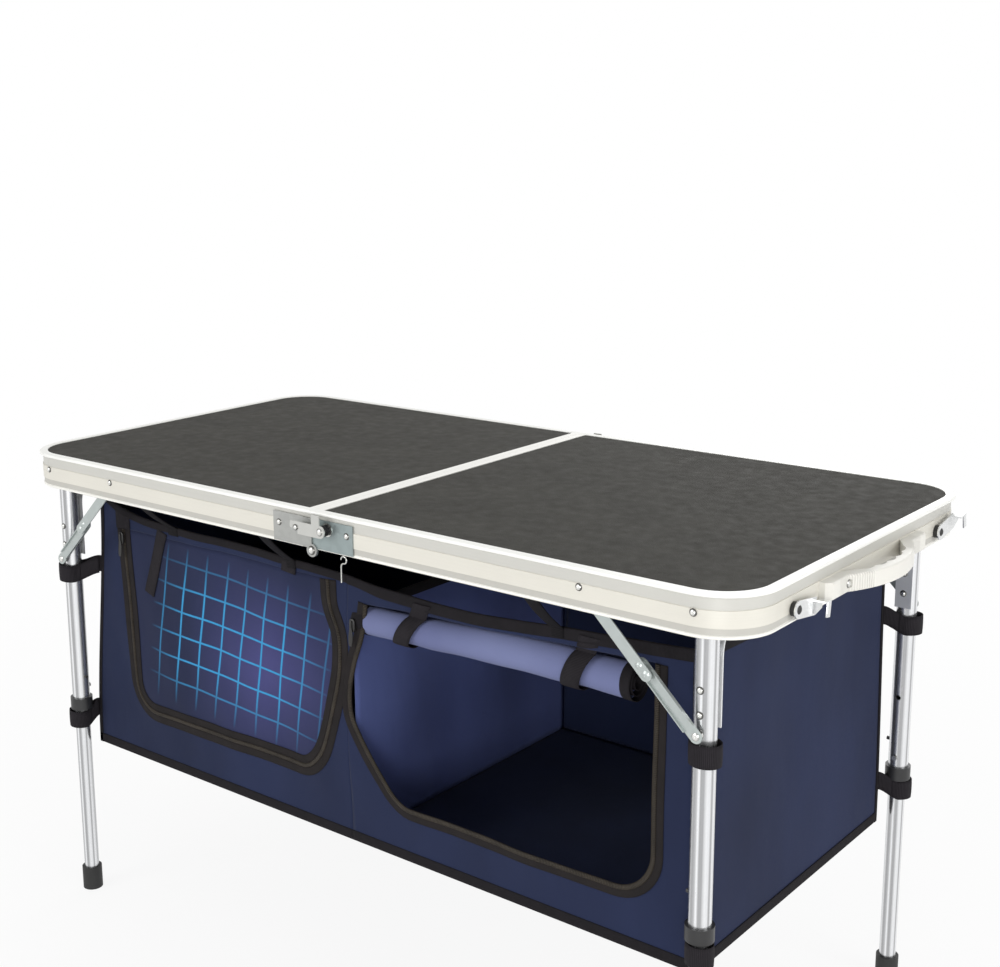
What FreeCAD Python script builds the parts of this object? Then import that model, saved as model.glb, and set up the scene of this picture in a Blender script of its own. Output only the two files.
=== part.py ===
import FreeCAD, Part
import math
import os

# Folding camping table: two framed leaves on a centre hinge, four telescopic legs
# that fold flat, toggle braces, and a fabric organizer hung below the top.
# Millimetres. X runs along the length, the long front side faces -Y, Z is up and
# the feet stand on Z = 0. Depths called "reach" are measured from the middle line
# of the table towards the front or the rear, and "drop" is measured down from the top.

# Opened table
table_length = 1200.0
table_depth = 600.0
table_height = 700.0
corner_radius = 70.0
seam_gap = 0.3

# Clearances shared by the pieces
running_clearance = 0.05
loose_clearance = 0.3
cloth_clearance = 0.3
overrun = 6.0

# Rail section, from the top bead down to the bottom bead
bead_height = 4.5
upper_band_height = 14.5
broad_band_height = 19.0
lower_band_height = 8.0
bottom_bead_height = 4.0
upper_band_inset = 5.0
broad_band_inset = 4.0
lower_band_inset = 5.0
rail_wall_inset = 6.5
flange_inset = 12.0
flange_thickness = 1.2
ledge_inset = 16.5
ledge_thickness = 1.5

# Table panel and seam bar
panel_thickness = 7.0
panel_skin_rise = 0.4
seam_bar_width = 12.0
seam_bar_web = 1.5
seam_bar_depth = 16.0

# Fasteners
screw_head_radius = 4.5
screw_head_height = 2.2
screw_radius = 2.0
rivet_head_radius = 5.0
rivet_head_height = 2.0
screw_drop = 23.0

# Folding legs
leg_pivot_inset = 63.0
leg_pivot_drop = 30.0
leg_side_inset = 36.0
upper_tube_radius = 13.0
upper_tube_wall = 1.7
upper_tube_above_pivot = 12.0
upper_tube_foot_z = 308.0
lower_tube_radius = 11.0
lower_tube_wall = 1.5
lower_tube_length = 340.0
pivot_pin_radius = 3.0

# Rubber feet
foot_radius = 15.0
foot_height = 35.0
foot_sole = 8.0

# Plastic collar and stop plug of each leg
collar_radius = 16.5
collar_height = 18.0
collar_overlap = 8.0
plug_radius = 2.4
plug_length = 4.0
plug_z = 350.0

# Snap clip of each leg
button_z = 330.0
button_radius = 3.4
button_reach_out = 3.0
hole_spacing = 85.0
clip_strip_width = 6.0
clip_strip_thickness = 0.8
clip_strip_length = 26.0
clip_bend_radius = 5.0
clip_seat = 0.5
clip_flange_radius = 4.2

# Arched crosspiece between the two legs of a pair
crosspiece_width = 22.0
crosspiece_thickness = 2.0
crosspiece_end_drop = 160.0
crosspiece_top_drop = 32.0
crosspiece_bend_radius = 50.0
upper_leg_screw_drop = 113.0
lower_leg_screw_drop = 140.5

# Leg hangers
hanger_width = 20.0
hanger_sheet = 1.7
hanger_ear_drop = 38.0
pin_head_height = 1.5

# Toggle braces
brace_end_drop = 162.0
brace_top_inset = 198.0
toggle_inset = 129.4
toggle_drop = 97.0
link_thickness = 1.5
upper_link_width = 14.5
lower_link_width = 15.0
lower_link_gap = 6.0
channel_wall = 1.2
channel_height = 4.4
channel_end_cut = 11.0
link_spacing = 0.3
bracket_thickness = 1.5
bracket_width = 18.0
bracket_drop_top = 12.0
bracket_screw_offset = 5.0
bracket_boss_wall = 1.0
link_head_room = 2.3
link_head_height = 1.8
toggle_head_radius = 4.5
stop_distance = 12.0
stop_head_radius = 5.0
brace_boss_radius = 5.5

# Centre hinge
leaf_length = 68.0
leaf_thickness = 1.5
leaf_top_drop = 10.0
leaf_bottom_rise = 2.0
hinge_pivot_drop = 51.0
lobe_radius = 8.5
pivot_head_radius = 6.0
pivot_head_height = 3.0
leaf_rivet_x = 58.0
leaf_rivet_drop = 24.0
joggle_x = 15.0
joggle_overlap = 2.0

# Hinge lock
lock_x = 26.0
lock_drop = 21.0
lock_post_radius = 2.8
lock_stand_off = 12.5
washer_radius = 8.5
washer_thickness = 1.0
spring_radius = 6.2
spring_wire_radius = 0.9
spring_turns = 4
hook_thickness = 1.5
hook_end_radius = 8.0
hook_tip_width = 5.5
hook_bridge = 5.0
hook_lip = 1.0
stud_x = -14.5
stud_radius = 2.5
stud_play = 2.6
stud_head_radius = 4.0
tab_left_x = 12.0
tab_right_x = 25.5
tab_top_drop = 1.0

# Carrying handle
handle_share = 0.44
handle_rivet_inset = 44.0
handle_height = 20.0
handle_drop = 30.0
handle_block_depth = 14.0
handle_reach = 34.0
grip_thickness = 13.0
finger_count = 5
finger_end_gap = 22.0
finger_depth = 3.5
handle_foot_inset = 50.0
handle_edge_round = 2.5

# Latch hooks at the right end and catch studs at the left end
latch_share = 0.64
latch_drop = 34.0
latch_bush_radius = 8.0
latch_bush_height = 6.0
latch_thickness = 1.5
latch_half_width = 10.0
latch_handle_gap = 5.0
latch_ear_length = 16.0
latch_ear_reach = 10.0
latch_finger_width = 8.0
latch_finger_length = 18.0
latch_nose_drop = 4.0
near_latch_tilt = -8.0
far_latch_tilt = 10.0
catch_drop = 16.0
catch_radius = 3.0
catch_head_radius = 5.0
catch_head_height = 2.0
catch_reach = 3.0

# Fabric organizer
organizer_end_gap = 80.0
organizer_side_gap = 60.0
organizer_bottom_drop = 462.0
organizer_end_top_drop = 86.0
cloth_thickness = 1.5
divider_x = 10.0
divider_top_drop = 140.0
front_edge_middle_drop = 98.0
front_edge_left_drop = 89.0
front_edge_right_drop = 86.0
front_edge_post_drop = 97.0
front_edge_middle_x = -100.0
front_edge_post_x = 30.0

# Left door with its zip
door_top_drop = 114.0
door_bottom_drop = 388.0
door_left_top_gap = 80.0
door_left_bottom_gap = 100.0
door_right_top_x = -38.0
door_right_bulge_x = -10.0
door_right_bulge_drop = 215.0
door_right_bottom_x = -52.0
door_right_bottom_drop = 340.0
door_corner_left = 42.0
door_corner_right = 50.0
zip_tape_width = 13.0
zip_tape_thickness = 1.0
right_tape_width = 8.0

# Opening on the right with the rolled-up door
opening_left_x = 14.0
opening_end_gap = 56.0
opening_left_top_drop = 130.0
opening_right_top_drop = 112.5
opening_bottom_drop = 391.0
opening_corner = 60.0
roll_start_x = 40.0
roll_end_gap = 63.0
roll_start_drop = 152.0
roll_end_drop = 135.0
roll_radius = 19.0
roll_overhang = 7.0
tie_width = 24.0
tie_thickness = 1.2
tie_tail_height = 38.0
tie_first_x = 116.0
tie_second_gap = 152.0

# Zip sliders
slider_length = 18.0
slider_width = 9.0
slider_thickness = 3.0
slider_tab_length = 22.0
slider_tab_width = 6.0
slider_tab_thickness = 1.0
left_slider_gap = 68.0
left_slider_drop = 112.0
right_slider_x = 10.0
right_slider_drop = 150.0

# Hanging loops and wire hooks of the organizer
loop_width = 20.0
loop_x = -95.0
loop_outer_gap = 190.0
loop_top_drop = 14.0
hook_x = 50.0
hook_wire_radius = 1.0
hook_eye_radius = 4.5
hook_leg_drop = 34.0

# Straps that tie the organizer to the legs
strap_height = 26.0
strap_thickness = 1.5
strap_gap = 0.6
upper_strap_drop = 172.0
lower_strap_top_z = 296.0

# Worked out from the values above
half_length = table_length / 2
half_depth = table_depth / 2
half_seam = seam_gap / 2
bead_radius = bead_height / 2
bottom_bead_radius = bottom_bead_height / 2
upper_band_end = bead_height + upper_band_height
broad_band_end = upper_band_end + broad_band_height
lower_band_end = broad_band_end + lower_band_height
rail_height = lower_band_end + bottom_bead_height
rail_bottom_z = table_height - rail_height
panel_top_z = table_height - flange_thickness
panel_bottom_z = panel_top_z - panel_thickness
ledge_bottom_z = panel_bottom_z - ledge_thickness
rail_face = half_depth - broad_band_inset
rail_inner_face = half_depth - rail_wall_inset
end_face = half_length - broad_band_inset
end_inner_face = half_length - rail_wall_inset

leg_pivot_x = half_length - leg_pivot_inset
leg_pivot_z = table_height - leg_pivot_drop
leg_reach = half_depth - leg_side_inset
upper_bore = upper_tube_radius - upper_tube_wall
lower_bore = lower_tube_radius - lower_tube_wall
tube_outer_reach = leg_reach + upper_tube_radius
tube_inner_reach = leg_reach - upper_tube_radius
pin_hole_radius = pivot_pin_radius + running_clearance
screw_hole_radius = screw_radius + running_clearance
button_hole_radius = button_radius + running_clearance * 2

crosspiece_end_z = table_height - crosspiece_end_drop
upper_leg_screw_z = table_height - upper_leg_screw_drop
lower_leg_screw_z = table_height - lower_leg_screw_drop

brace_end_z = table_height - brace_end_drop
brace_top_x = half_length - brace_top_inset
toggle_x = half_length - toggle_inset
toggle_z = table_height - toggle_drop
lower_web_inner = tube_outer_reach + lower_link_gap
lower_web_outer = lower_web_inner + link_thickness
channel_outer = lower_web_inner + channel_height
upper_link_outer = rail_inner_face - link_head_room
upper_link_inner = upper_link_outer - link_thickness
bracket_outer = upper_link_inner - link_spacing
bracket_inner = bracket_outer - bracket_thickness
bracket_screw_end = upper_link_outer + link_spacing

leaf_front = rail_face + leaf_thickness
joggle_back = leaf_front + link_spacing
joggle_front = joggle_back + leaf_thickness
hinge_pivot_z = table_height - hinge_pivot_drop
lock_z = table_height - lock_drop
hook_back = leaf_front + lock_stand_off
hook_front = hook_back + hook_thickness

handle_half_length = half_depth * handle_share
handle_rivet_y = handle_half_length - handle_rivet_inset
handle_foot_y = handle_half_length - handle_foot_inset
finger_pitch = 2 * (handle_foot_y - finger_end_gap) / finger_count
latch_y = half_depth * latch_share
latch_length = latch_y - handle_half_length - latch_handle_gap
catch_tip = half_length + catch_reach
handle_tip = half_length + handle_reach
centre_shift = (catch_tip - handle_tip) / 2

organizer_half_length = half_length - organizer_end_gap
organizer_half_depth = half_depth - organizer_side_gap
organizer_bottom_z = table_height - organizer_bottom_drop
wall_inner_reach = organizer_half_depth - cloth_thickness
door_left_top_x = door_left_top_gap - organizer_half_length
door_left_bottom_x = door_left_bottom_gap - organizer_half_length
opening_right_x = organizer_half_length - opening_end_gap
roll_end_x = organizer_half_length - roll_end_gap
tie_second_x = organizer_half_length - tie_second_gap
left_slider_x = left_slider_gap - organizer_half_length
loop_outer_x = organizer_half_length - loop_outer_gap
upper_strap_top_z = table_height - upper_strap_drop


def box(x0, x1, y0, y1, z0, z1):
    """Block between two corners."""
    return Part.makeBox(x1 - x0, y1 - y0, z1 - z0, FreeCAD.Vector(x0, y0, z0))


def front_box(x0, x1, reach0, reach1, z0, z1):
    """Block on the front half, its depths given as reaches."""
    return box(x0, x1, -reach1, -reach0, z0, z1)


def cylinder_z(x, y, z0, z1, radius):
    return Part.makeCylinder(radius, z1 - z0, FreeCAD.Vector(x, y, z0), FreeCAD.Vector(0, 0, 1))


def front_cylinder(x, z, reach0, reach1, radius):
    """Round bar across the front half, its ends given as reaches."""
    start = FreeCAD.Vector(x, -reach0, z)
    return Part.makeCylinder(radius, reach1 - reach0, start, FreeCAD.Vector(0, -1, 0))


def end_cylinder(y, z, x0, x1, radius):
    """Round bar along the length."""
    return Part.makeCylinder(radius, x1 - x0, FreeCAD.Vector(x0, y, z), FreeCAD.Vector(1, 0, 0))


def dome(base, direction, radius, height):
    """Low round head whose flat side lies on base."""
    ball_radius = (radius * radius + height * height) / (2 * height)
    ball = Part.makeSphere(ball_radius, FreeCAD.Vector(0, 0, height - ball_radius))
    head = ball.common(Part.makeCylinder(ball_radius, ball_radius))
    turn = FreeCAD.Rotation(FreeCAD.Vector(0, 0, 1), direction)
    head.Placement = FreeCAD.Placement(base, turn)
    return head


def joined(pieces):
    """One solid from pieces that touch or overlap."""
    whole = pieces[0]
    for piece in pieces[1:]:
        whole = whole.fuse(piece)
    return whole.removeSplitter()


def path_wire(start, moves):
    """Closed wire from a start point: a move is (end) or (middle of an arc, end)."""
    edges = []
    here = start
    for move in moves:
        if len(move) == 2:
            edges.append(Part.Arc(here, move[0], move[1]).toShape())
        else:
            edges.append(Part.LineSegment(here, move[0]).toShape())
        here = move[-1]
    edges.append(Part.LineSegment(here, start).toShape())
    return Part.Wire(edges)


def front_plate(points, reach0, reach1):
    """Flat plate on the front half from (x, z) corners."""
    corners = [FreeCAD.Vector(x, -reach0, z) for x, z in points]
    face = Part.Face(Part.makePolygon(corners + corners[:1]))
    return face.extrude(FreeCAD.Vector(0, reach0 - reach1, 0))


def front_bar(first, second, width, reach0, reach1):
    """Flat bar with round ends between two (x, z) points of the front half."""
    length = math.dist(first, second)
    slope = math.degrees(math.atan2(second[1] - first[1], second[0] - first[0]))
    middle = front_box(0, length, reach0, reach1, -width / 2, width / 2)
    ends = [front_cylinder(x, 0, reach0, reach1, width / 2) for x in (0, length)]
    bar = joined([middle] + ends)
    bar.rotate(FreeCAD.Vector(0, 0, 0), FreeCAD.Vector(0, -1, 0), slope)
    bar.translate(FreeCAD.Vector(first[0], 0, first[1]))
    return bar


def rear_of(shape):
    """The same piece at the rear."""
    return shape.mirror(FreeCAD.Vector(0, 0, 0), FreeCAD.Vector(0, 1, 0))


def left_of(shape):
    """The same piece on the left leaf."""
    return shape.mirror(FreeCAD.Vector(0, 0, 0), FreeCAD.Vector(1, 0, 0))


def front_and_rear(pieces):
    return pieces + [rear_of(piece) for piece in pieces]


def group(pieces):
    return Part.Compound(pieces)


def front_screw(x, z, face_reach, inner_reach):
    """Pan-head screw through the rail wall."""
    base = FreeCAD.Vector(x, -face_reach, z)
    head = dome(base, FreeCAD.Vector(0, -1, 0), screw_head_radius, screw_head_height)
    shank = front_cylinder(x, z, inner_reach, face_reach, screw_radius)
    return joined([head, shank])


# Rail, panel and seam bar


def rail_point(inset, drop):
    return FreeCAD.Vector(half_seam, inset - half_depth, table_height - drop)


def rail_section():
    """Section of the rail at the seam, front side."""
    ledge_top = flange_thickness + panel_thickness
    ledge_bottom = ledge_top + ledge_thickness
    bottom_inset = broad_band_inset + bottom_bead_radius
    moves = [
        (rail_point(bead_radius, 0),),
        (rail_point(0, bead_radius), rail_point(bead_radius, bead_height)),
        (rail_point(upper_band_inset, bead_height),),
        (rail_point(upper_band_inset, upper_band_end),),
        (rail_point(broad_band_inset, upper_band_end),),
        (rail_point(broad_band_inset, broad_band_end),),
        (rail_point(lower_band_inset, broad_band_end),),
        (rail_point(lower_band_inset, lower_band_end),),
        (rail_point(bottom_inset, lower_band_end),),
        (rail_point(broad_band_inset, lower_band_end + bottom_bead_radius),
         rail_point(bottom_inset, rail_height)),
        (rail_point(rail_wall_inset, rail_height),),
        (rail_point(rail_wall_inset, ledge_bottom),),
        (rail_point(ledge_inset, ledge_bottom),),
        (rail_point(ledge_inset, ledge_top),),
        (rail_point(rail_wall_inset, ledge_top),),
        (rail_point(rail_wall_inset, flange_thickness),),
        (rail_point(flange_inset, flange_thickness),),
    ]
    return Part.Face(path_wire(rail_point(flange_inset, 0), moves))


def rail_holes():
    """Bores of the right rail for its screws, rivets and pivots."""
    bores = []
    for x, drop in ((brace_top_x - bracket_screw_offset, screw_drop), (leg_pivot_x, screw_drop),
                    (leaf_rivet_x, leaf_rivet_drop)):
        bores.append(front_cylinder(x, table_height - drop, rail_inner_face - overrun,
                                    rail_face + overrun, screw_hole_radius))
    return front_and_rear(bores)


def right_rail():
    section = rail_section()
    corner_x = half_length - corner_radius
    straight = section.extrude(FreeCAD.Vector(corner_x - half_seam, 0, 0))
    section.translate(FreeCAD.Vector(corner_x - half_seam, 0, 0))
    centre = FreeCAD.Vector(corner_x, corner_radius - half_depth, 0)
    corner = section.revolve(centre, FreeCAD.Vector(0, 0, 1), 90)
    section.rotate(centre, FreeCAD.Vector(0, 0, 1), 90)
    end = section.extrude(FreeCAD.Vector(0, table_depth - 2 * corner_radius, 0))
    rail = joined([straight, corner, end, rear_of(corner), rear_of(straight)])
    return rail


def cut_right_end_holes(rail):
    """Handle rivets and latch pivots pass through the end of the right rail."""
    for y in (handle_rivet_y, latch_y):
        drop = handle_drop if y == handle_rivet_y else latch_drop
        for side in (-1, 1):
            bore = end_cylinder(side * y, table_height - drop, end_inner_face - overrun,
                                end_face + overrun, screw_hole_radius)
            rail = rail.cut(bore)
    return rail


def cut_left_end_holes(rail):
    """Catch studs pass through the end of the left rail, here still on the right."""
    for side in (-1, 1):
        bore = end_cylinder(side * latch_y, table_height - catch_drop,
                            end_inner_face - overrun, end_face + overrun, screw_hole_radius)
        rail = rail.cut(bore)
    return rail


def inner_block(x0, inset, z0, z1):
    """Block inside the rail of the right leaf, its two outer corners rounded."""
    x1 = half_length - inset
    y1 = half_depth - inset
    block = box(x0, x1, -y1, y1, z0, z1)
    corners = [edge for edge in block.Edges
               if edge.BoundBox.ZLength > running_clearance
               and edge.BoundBox.XMin > x1 - running_clearance]
    return block.makeFillet(corner_radius - inset, corners)


def right_panel():
    """Panel sheet in the slot of the rail, its skin raised inside the frame."""
    x0 = half_seam + seam_bar_web + loose_clearance
    sheet = inner_block(x0, rail_wall_inset + loose_clearance, panel_bottom_z, panel_top_z)
    skin_x0 = half_seam + seam_bar_width + loose_clearance
    skin = inner_block(skin_x0, flange_inset + loose_clearance, panel_top_z,
                       panel_top_z + panel_skin_rise)
    return joined([sheet, skin])


def right_seam_bar():
    """Channel that closes the seam edge of a leaf."""
    flange_y = half_depth - flange_inset
    web_y = half_depth - ledge_inset
    web_x = half_seam + seam_bar_web
    bar_x = half_seam + seam_bar_width
    flange = box(half_seam, bar_x, -flange_y, flange_y, panel_top_z, table_height)
    web = box(half_seam, web_x, -web_y, web_y, table_height - seam_bar_depth, table_height)
    ledge = box(web_x, bar_x, -web_y, web_y, ledge_bottom_z, panel_bottom_z)
    return joined([flange, web, ledge])


# Leg hangers and brace brackets


def leg_hangers():
    """Bent brackets with their pivot pins, under the ledge at both sides."""
    x0 = leg_pivot_x - hanger_width / 2
    x1 = leg_pivot_x + hanger_width / 2
    top = ledge_bottom_z
    plate_z = top - hanger_sheet
    ear_z = table_height - hanger_ear_drop
    ear_out = tube_inner_reach - loose_clearance
    cheek_in = tube_outer_reach + loose_clearance
    cheek_out = cheek_in + hanger_sheet
    bridge = front_box(x0, x1, ear_out - hanger_sheet, rail_inner_face, plate_z, top)
    ear = front_box(x0, x1, ear_out - hanger_sheet, ear_out, ear_z, top)
    cheek = front_box(x0, x1, cheek_in, cheek_out, ear_z, top)
    wall = front_box(x0, leg_pivot_x + screw_head_radius, rail_inner_face - hanger_sheet,
                     rail_inner_face, ear_z, top)
    hanger = joined([bridge, ear, cheek, wall])
    hanger = hanger.common(inner_block(0, rail_wall_inset + loose_clearance, ear_z, top))
    hole = front_cylinder(leg_pivot_x, leg_pivot_z, ear_out - overrun, cheek_out + overrun / 2,
                          pin_hole_radius)
    screw_hole = front_cylinder(leg_pivot_x, table_height - screw_drop,
                                rail_inner_face - overrun, rail_inner_face + overrun,
                                screw_hole_radius)
    hanger = hanger.cut(hole).cut(screw_hole)
    pin_start = ear_out - hanger_sheet
    pin = front_cylinder(leg_pivot_x, leg_pivot_z, pin_start, cheek_out, pivot_pin_radius)
    inner_head = front_cylinder(leg_pivot_x, leg_pivot_z, pin_start - pin_head_height,
                                pin_start, screw_head_radius)
    outer_head = front_cylinder(leg_pivot_x, leg_pivot_z, cheek_out,
                                cheek_out + pin_head_height, screw_head_radius)
    pin = joined([pin, inner_head, outer_head])
    return group(front_and_rear([hanger, pin]))


def brace_brackets():
    """Plates behind the rail wall that carry the upper links on a pin."""
    x0 = brace_top_x - bracket_width / 2
    x1 = brace_top_x + bracket_width / 2
    z1 = table_height - bracket_drop_top
    z0 = leg_pivot_z - lower_link_width / 2
    plate = front_box(x0, x1, bracket_inner, bracket_outer, z0, z1)
    pin = front_cylinder(brace_top_x, leg_pivot_z, bracket_outer, rail_inner_face,
                         pivot_pin_radius)
    screw_x = brace_top_x - bracket_screw_offset
    boss = front_cylinder(screw_x, table_height - screw_drop + screw_radius, bracket_outer,
                          rail_inner_face, screw_radius + bracket_boss_wall)
    bracket = joined([plate, pin, boss])
    bore = front_cylinder(screw_x, table_height - screw_drop, bracket_screw_end,
                          rail_inner_face + overrun, screw_hole_radius)
    return group(front_and_rear([bracket.cut(bore)]))


def rail_screws():
    """Screws of the brace brackets and leg hangers, and the hinge leaf rivets."""
    z = table_height - screw_drop
    bracket_screw = front_screw(brace_top_x - bracket_screw_offset, z, rail_face,
                                bracket_screw_end)
    hanger_screw = front_screw(leg_pivot_x, z, rail_face, rail_inner_face - hanger_sheet)
    leaf_rivet = front_screw(leaf_rivet_x, table_height - leaf_rivet_drop, leaf_front,
                             rail_inner_face)
    return front_and_rear([bracket_screw, hanger_screw, leaf_rivet])


def right_screws_and_rivets():
    """Screws of the right leaf with the rivets of the carrying handle."""
    pieces = rail_screws()
    z = table_height - handle_drop
    outer_x = end_face + handle_block_depth
    for side in (-1, 1):
        base = FreeCAD.Vector(outer_x, side * handle_rivet_y, z)
        head = dome(base, FreeCAD.Vector(1, 0, 0), rivet_head_radius, rivet_head_height)
        shank = end_cylinder(side * handle_rivet_y, z, end_inner_face, outer_x, screw_radius)
        pieces.append(joined([head, shank]))
    return group(pieces)


# Centre hinge and its lock


def right_leaf():
    """Hinge leaf of the right half, flat on the rail, with its lobe round the pivot."""
    top = table_height - leaf_top_drop
    bottom = rail_bottom_z + leaf_bottom_rise
    plate = front_box(half_seam, leaf_length, rail_face, leaf_front, bottom, top)
    lobe = front_cylinder(0, hinge_pivot_z, rail_face, leaf_front, lobe_radius)
    leaf = joined([plate, lobe])
    for x, z, radius in ((0, hinge_pivot_z, pin_hole_radius),
                         (leaf_rivet_x, table_height - leaf_rivet_drop, screw_hole_radius)):
        leaf = leaf.cut(front_cylinder(x, z, rail_face - overrun, leaf_front + overrun, radius))
    return leaf


def left_leaf():
    """Hinge leaf of the left half, stepped out over the lobe of the other leaf."""
    top = table_height - leaf_top_drop
    bottom = rail_bottom_z + leaf_bottom_rise
    base = front_box(-leaf_length, -joggle_x, rail_face, leaf_front, bottom, top)
    step = front_box(-joggle_x, joggle_overlap - joggle_x, rail_face, joggle_front, bottom, top)
    cover = front_box(-joggle_x, 0, joggle_back, joggle_front, bottom, top)
    lobe = front_cylinder(0, hinge_pivot_z, joggle_back, joggle_front, lobe_radius)
    leaf = joined([base, step, cover, lobe])
    for x, z, radius in ((0, hinge_pivot_z, pin_hole_radius),
                         (-leaf_rivet_x, table_height - leaf_rivet_drop, screw_hole_radius),
                         (stud_x, lock_z, screw_hole_radius)):
        leaf = leaf.cut(front_cylinder(x, z, rail_face - overrun, joggle_front + overrun, radius))
    return leaf


def hinge_pins():
    """Pins on which the leaves turn."""
    shank = front_cylinder(0, hinge_pivot_z, rail_face, joggle_front, pivot_pin_radius)
    base = FreeCAD.Vector(0, -joggle_front, hinge_pivot_z)
    head = dome(base, FreeCAD.Vector(0, -1, 0), pivot_head_radius, pivot_head_height)
    return group(front_and_rear([joined([shank, head])]))


def lock_posts():
    """Posts with washers on the right leaf that carry the lock hooks."""
    post = front_cylinder(lock_x, lock_z, leaf_front, hook_front, lock_post_radius)
    base = FreeCAD.Vector(lock_x, -hook_front, lock_z)
    head = dome(base, FreeCAD.Vector(0, -1, 0), rivet_head_radius, rivet_head_height)
    washer = front_cylinder(lock_x, lock_z, leaf_front, leaf_front + washer_thickness,
                            washer_radius)
    return group(front_and_rear([joined([post, head, washer])]))


def helix_point(turn_share, start_reach, pitch):
    angle = 2 * math.pi * turn_share
    reach = start_reach + pitch * turn_share
    return FreeCAD.Vector(lock_x + spring_radius * math.cos(angle), -reach,
                          lock_z + spring_radius * math.sin(angle))


def lock_springs():
    """Coil spring round each post, one unbroken wire between washer and hook."""
    start = leaf_front + washer_thickness + spring_wire_radius + cloth_clearance
    end = hook_back - spring_wire_radius - cloth_clearance
    pitch = (end - start) / spring_turns
    print("lock spring, free gap between turns:", round(pitch - 2 * spring_wire_radius, 3))
    edges = []
    quarters = 4 * spring_turns
    for quarter in range(quarters):
        first = helix_point(quarter / 4, start, pitch)
        middle = helix_point((quarter + 1 / 2) / 4, start, pitch)
        last = helix_point((quarter + 1) / 4, start, pitch)
        edges.append(Part.Arc(first, middle, last).toShape())
    route = Part.Wire(edges)
    tangent = edges[0].tangentAt(edges[0].FirstParameter)
    ring = Part.Wire(Part.makeCircle(spring_wire_radius, helix_point(0, start, pitch), tangent))
    shell = Part.BRepOffsetAPI.MakePipeShell(route)
    shell.add(ring)
    shell.build()
    shell.makeSolid()
    return group(front_and_rear([shell.shape()]))


def lock_studs():
    """Studs on the left leaf that the lock hooks catch."""
    shank = front_cylinder(stud_x, lock_z, joggle_back, hook_front + loose_clearance, stud_radius)
    stem = front_cylinder(stud_x, lock_z, joggle_back, joggle_front, screw_radius)
    shank = shank.cut(front_box(stud_x - rivet_head_radius, stud_x + rivet_head_radius,
                                joggle_back - overrun, joggle_front,
                                lock_z - rivet_head_radius, lock_z + rivet_head_radius))
    base = FreeCAD.Vector(stud_x, -hook_front - loose_clearance, lock_z)
    head = dome(base, FreeCAD.Vector(0, -1, 0), stud_head_radius, rivet_head_height)
    return group(front_and_rear([joined([stem, shank, head])]))


def lock_hook():
    """Hook plate that swings on its post and holds the stud from above."""
    stud_right = stud_x + stud_radius + loose_clearance
    stud_left = stud_x - stud_radius - stud_play
    tip_left = stud_left - hook_tip_width
    notch_top = lock_z + stud_radius + loose_clearance
    top = notch_top + hook_bridge
    bottom = lock_z - hook_end_radius
    tab_top = table_height - tab_top_drop
    points = [
        (lock_x, bottom), (stud_right, bottom), (stud_right, notch_top), (stud_left, notch_top),
        (stud_left, lock_z - hook_lip), (tip_left + hook_lip, lock_z - hook_lip),
        (tip_left, lock_z + hook_lip), (tip_left + hook_lip, top), (tab_left_x, top),
        (tab_left_x, tab_top), (tab_right_x, tab_top), (tab_right_x, lock_z + hook_end_radius),
        (lock_x, lock_z + hook_end_radius),
    ]
    plate = front_plate(points, hook_back, hook_front)
    round_end = front_cylinder(lock_x, lock_z, hook_back, hook_front, hook_end_radius)
    hook = joined([plate, round_end])
    bore = front_cylinder(lock_x, lock_z, hook_back - overrun, hook_front + overrun,
                          lock_post_radius + running_clearance)
    return hook.cut(bore)


# Carrying handle, latches and catches


def grip_curve_x(y, offset):
    """X of the bowed grip at a height along the handle, moved in by an offset."""
    bow = handle_reach - handle_block_depth + broad_band_inset
    span = handle_rivet_y
    radius = (span * span + bow * bow) / (2 * bow)
    centre_x = handle_tip - radius
    return centre_x + math.sqrt((radius - offset) ** 2 - y * y)


def handle():
    """Moulded handle: two blocks on the rail and a bowed grip with finger dips."""
    z0 = table_height - handle_drop - handle_height / 2
    block_x = end_face + handle_block_depth
    corner = handle_block_depth / 2

    def point(x, y):
        return FreeCAD.Vector(x, y, z0)

    half_fingers = finger_count * finger_pitch / 2
    moves = [
        (point(block_x - corner, -handle_half_length),),
        (point(block_x, corner - handle_half_length),),
        (point(grip_curve_x(handle_rivet_y, 0), -handle_rivet_y),),
        (point(handle_tip, 0), point(grip_curve_x(handle_rivet_y, 0), handle_rivet_y)),
        (point(block_x, handle_half_length - corner),),
        (point(block_x - corner, handle_half_length),),
        (point(end_face, handle_half_length),),
        (point(end_face, handle_foot_y),),
        (point(grip_curve_x(half_fingers, grip_thickness), half_fingers),),
    ]
    for finger in range(finger_count):
        y0 = half_fingers - finger * finger_pitch
        y1 = y0 - finger_pitch
        middle = (y0 + y1) / 2
        dip = point(grip_curve_x(middle, grip_thickness) + finger_depth, middle)
        moves.append((dip, point(grip_curve_x(y1, grip_thickness), y1)))
    moves.append((point(end_face, -handle_foot_y),))
    outline = path_wire(point(end_face, -handle_half_length), moves)
    body = Part.Face(outline).extrude(FreeCAD.Vector(0, 0, handle_height))
    rims = [edge for edge in body.Edges
            if edge.BoundBox.ZLength < running_clearance
            and edge.CenterOfMass.x > block_x - corner
            and abs(edge.CenterOfMass.y) < handle_half_length - corner]
    outer = [edge for edge in rims
             if edge.BoundBox.XMax > grip_curve_x(edge.CenterOfMass.y, grip_thickness / 2)]
    body = body.makeFillet(handle_edge_round, outer)
    z = table_height - handle_drop
    for side in (-1, 1):
        body = body.cut(end_cylinder(side * handle_rivet_y, z, end_face - overrun,
                                     block_x, screw_hole_radius))
        body = body.cut(end_cylinder(side * handle_rivet_y, z, block_x,
                                     block_x + handle_reach, rivet_head_radius + loose_clearance))
    return body


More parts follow.
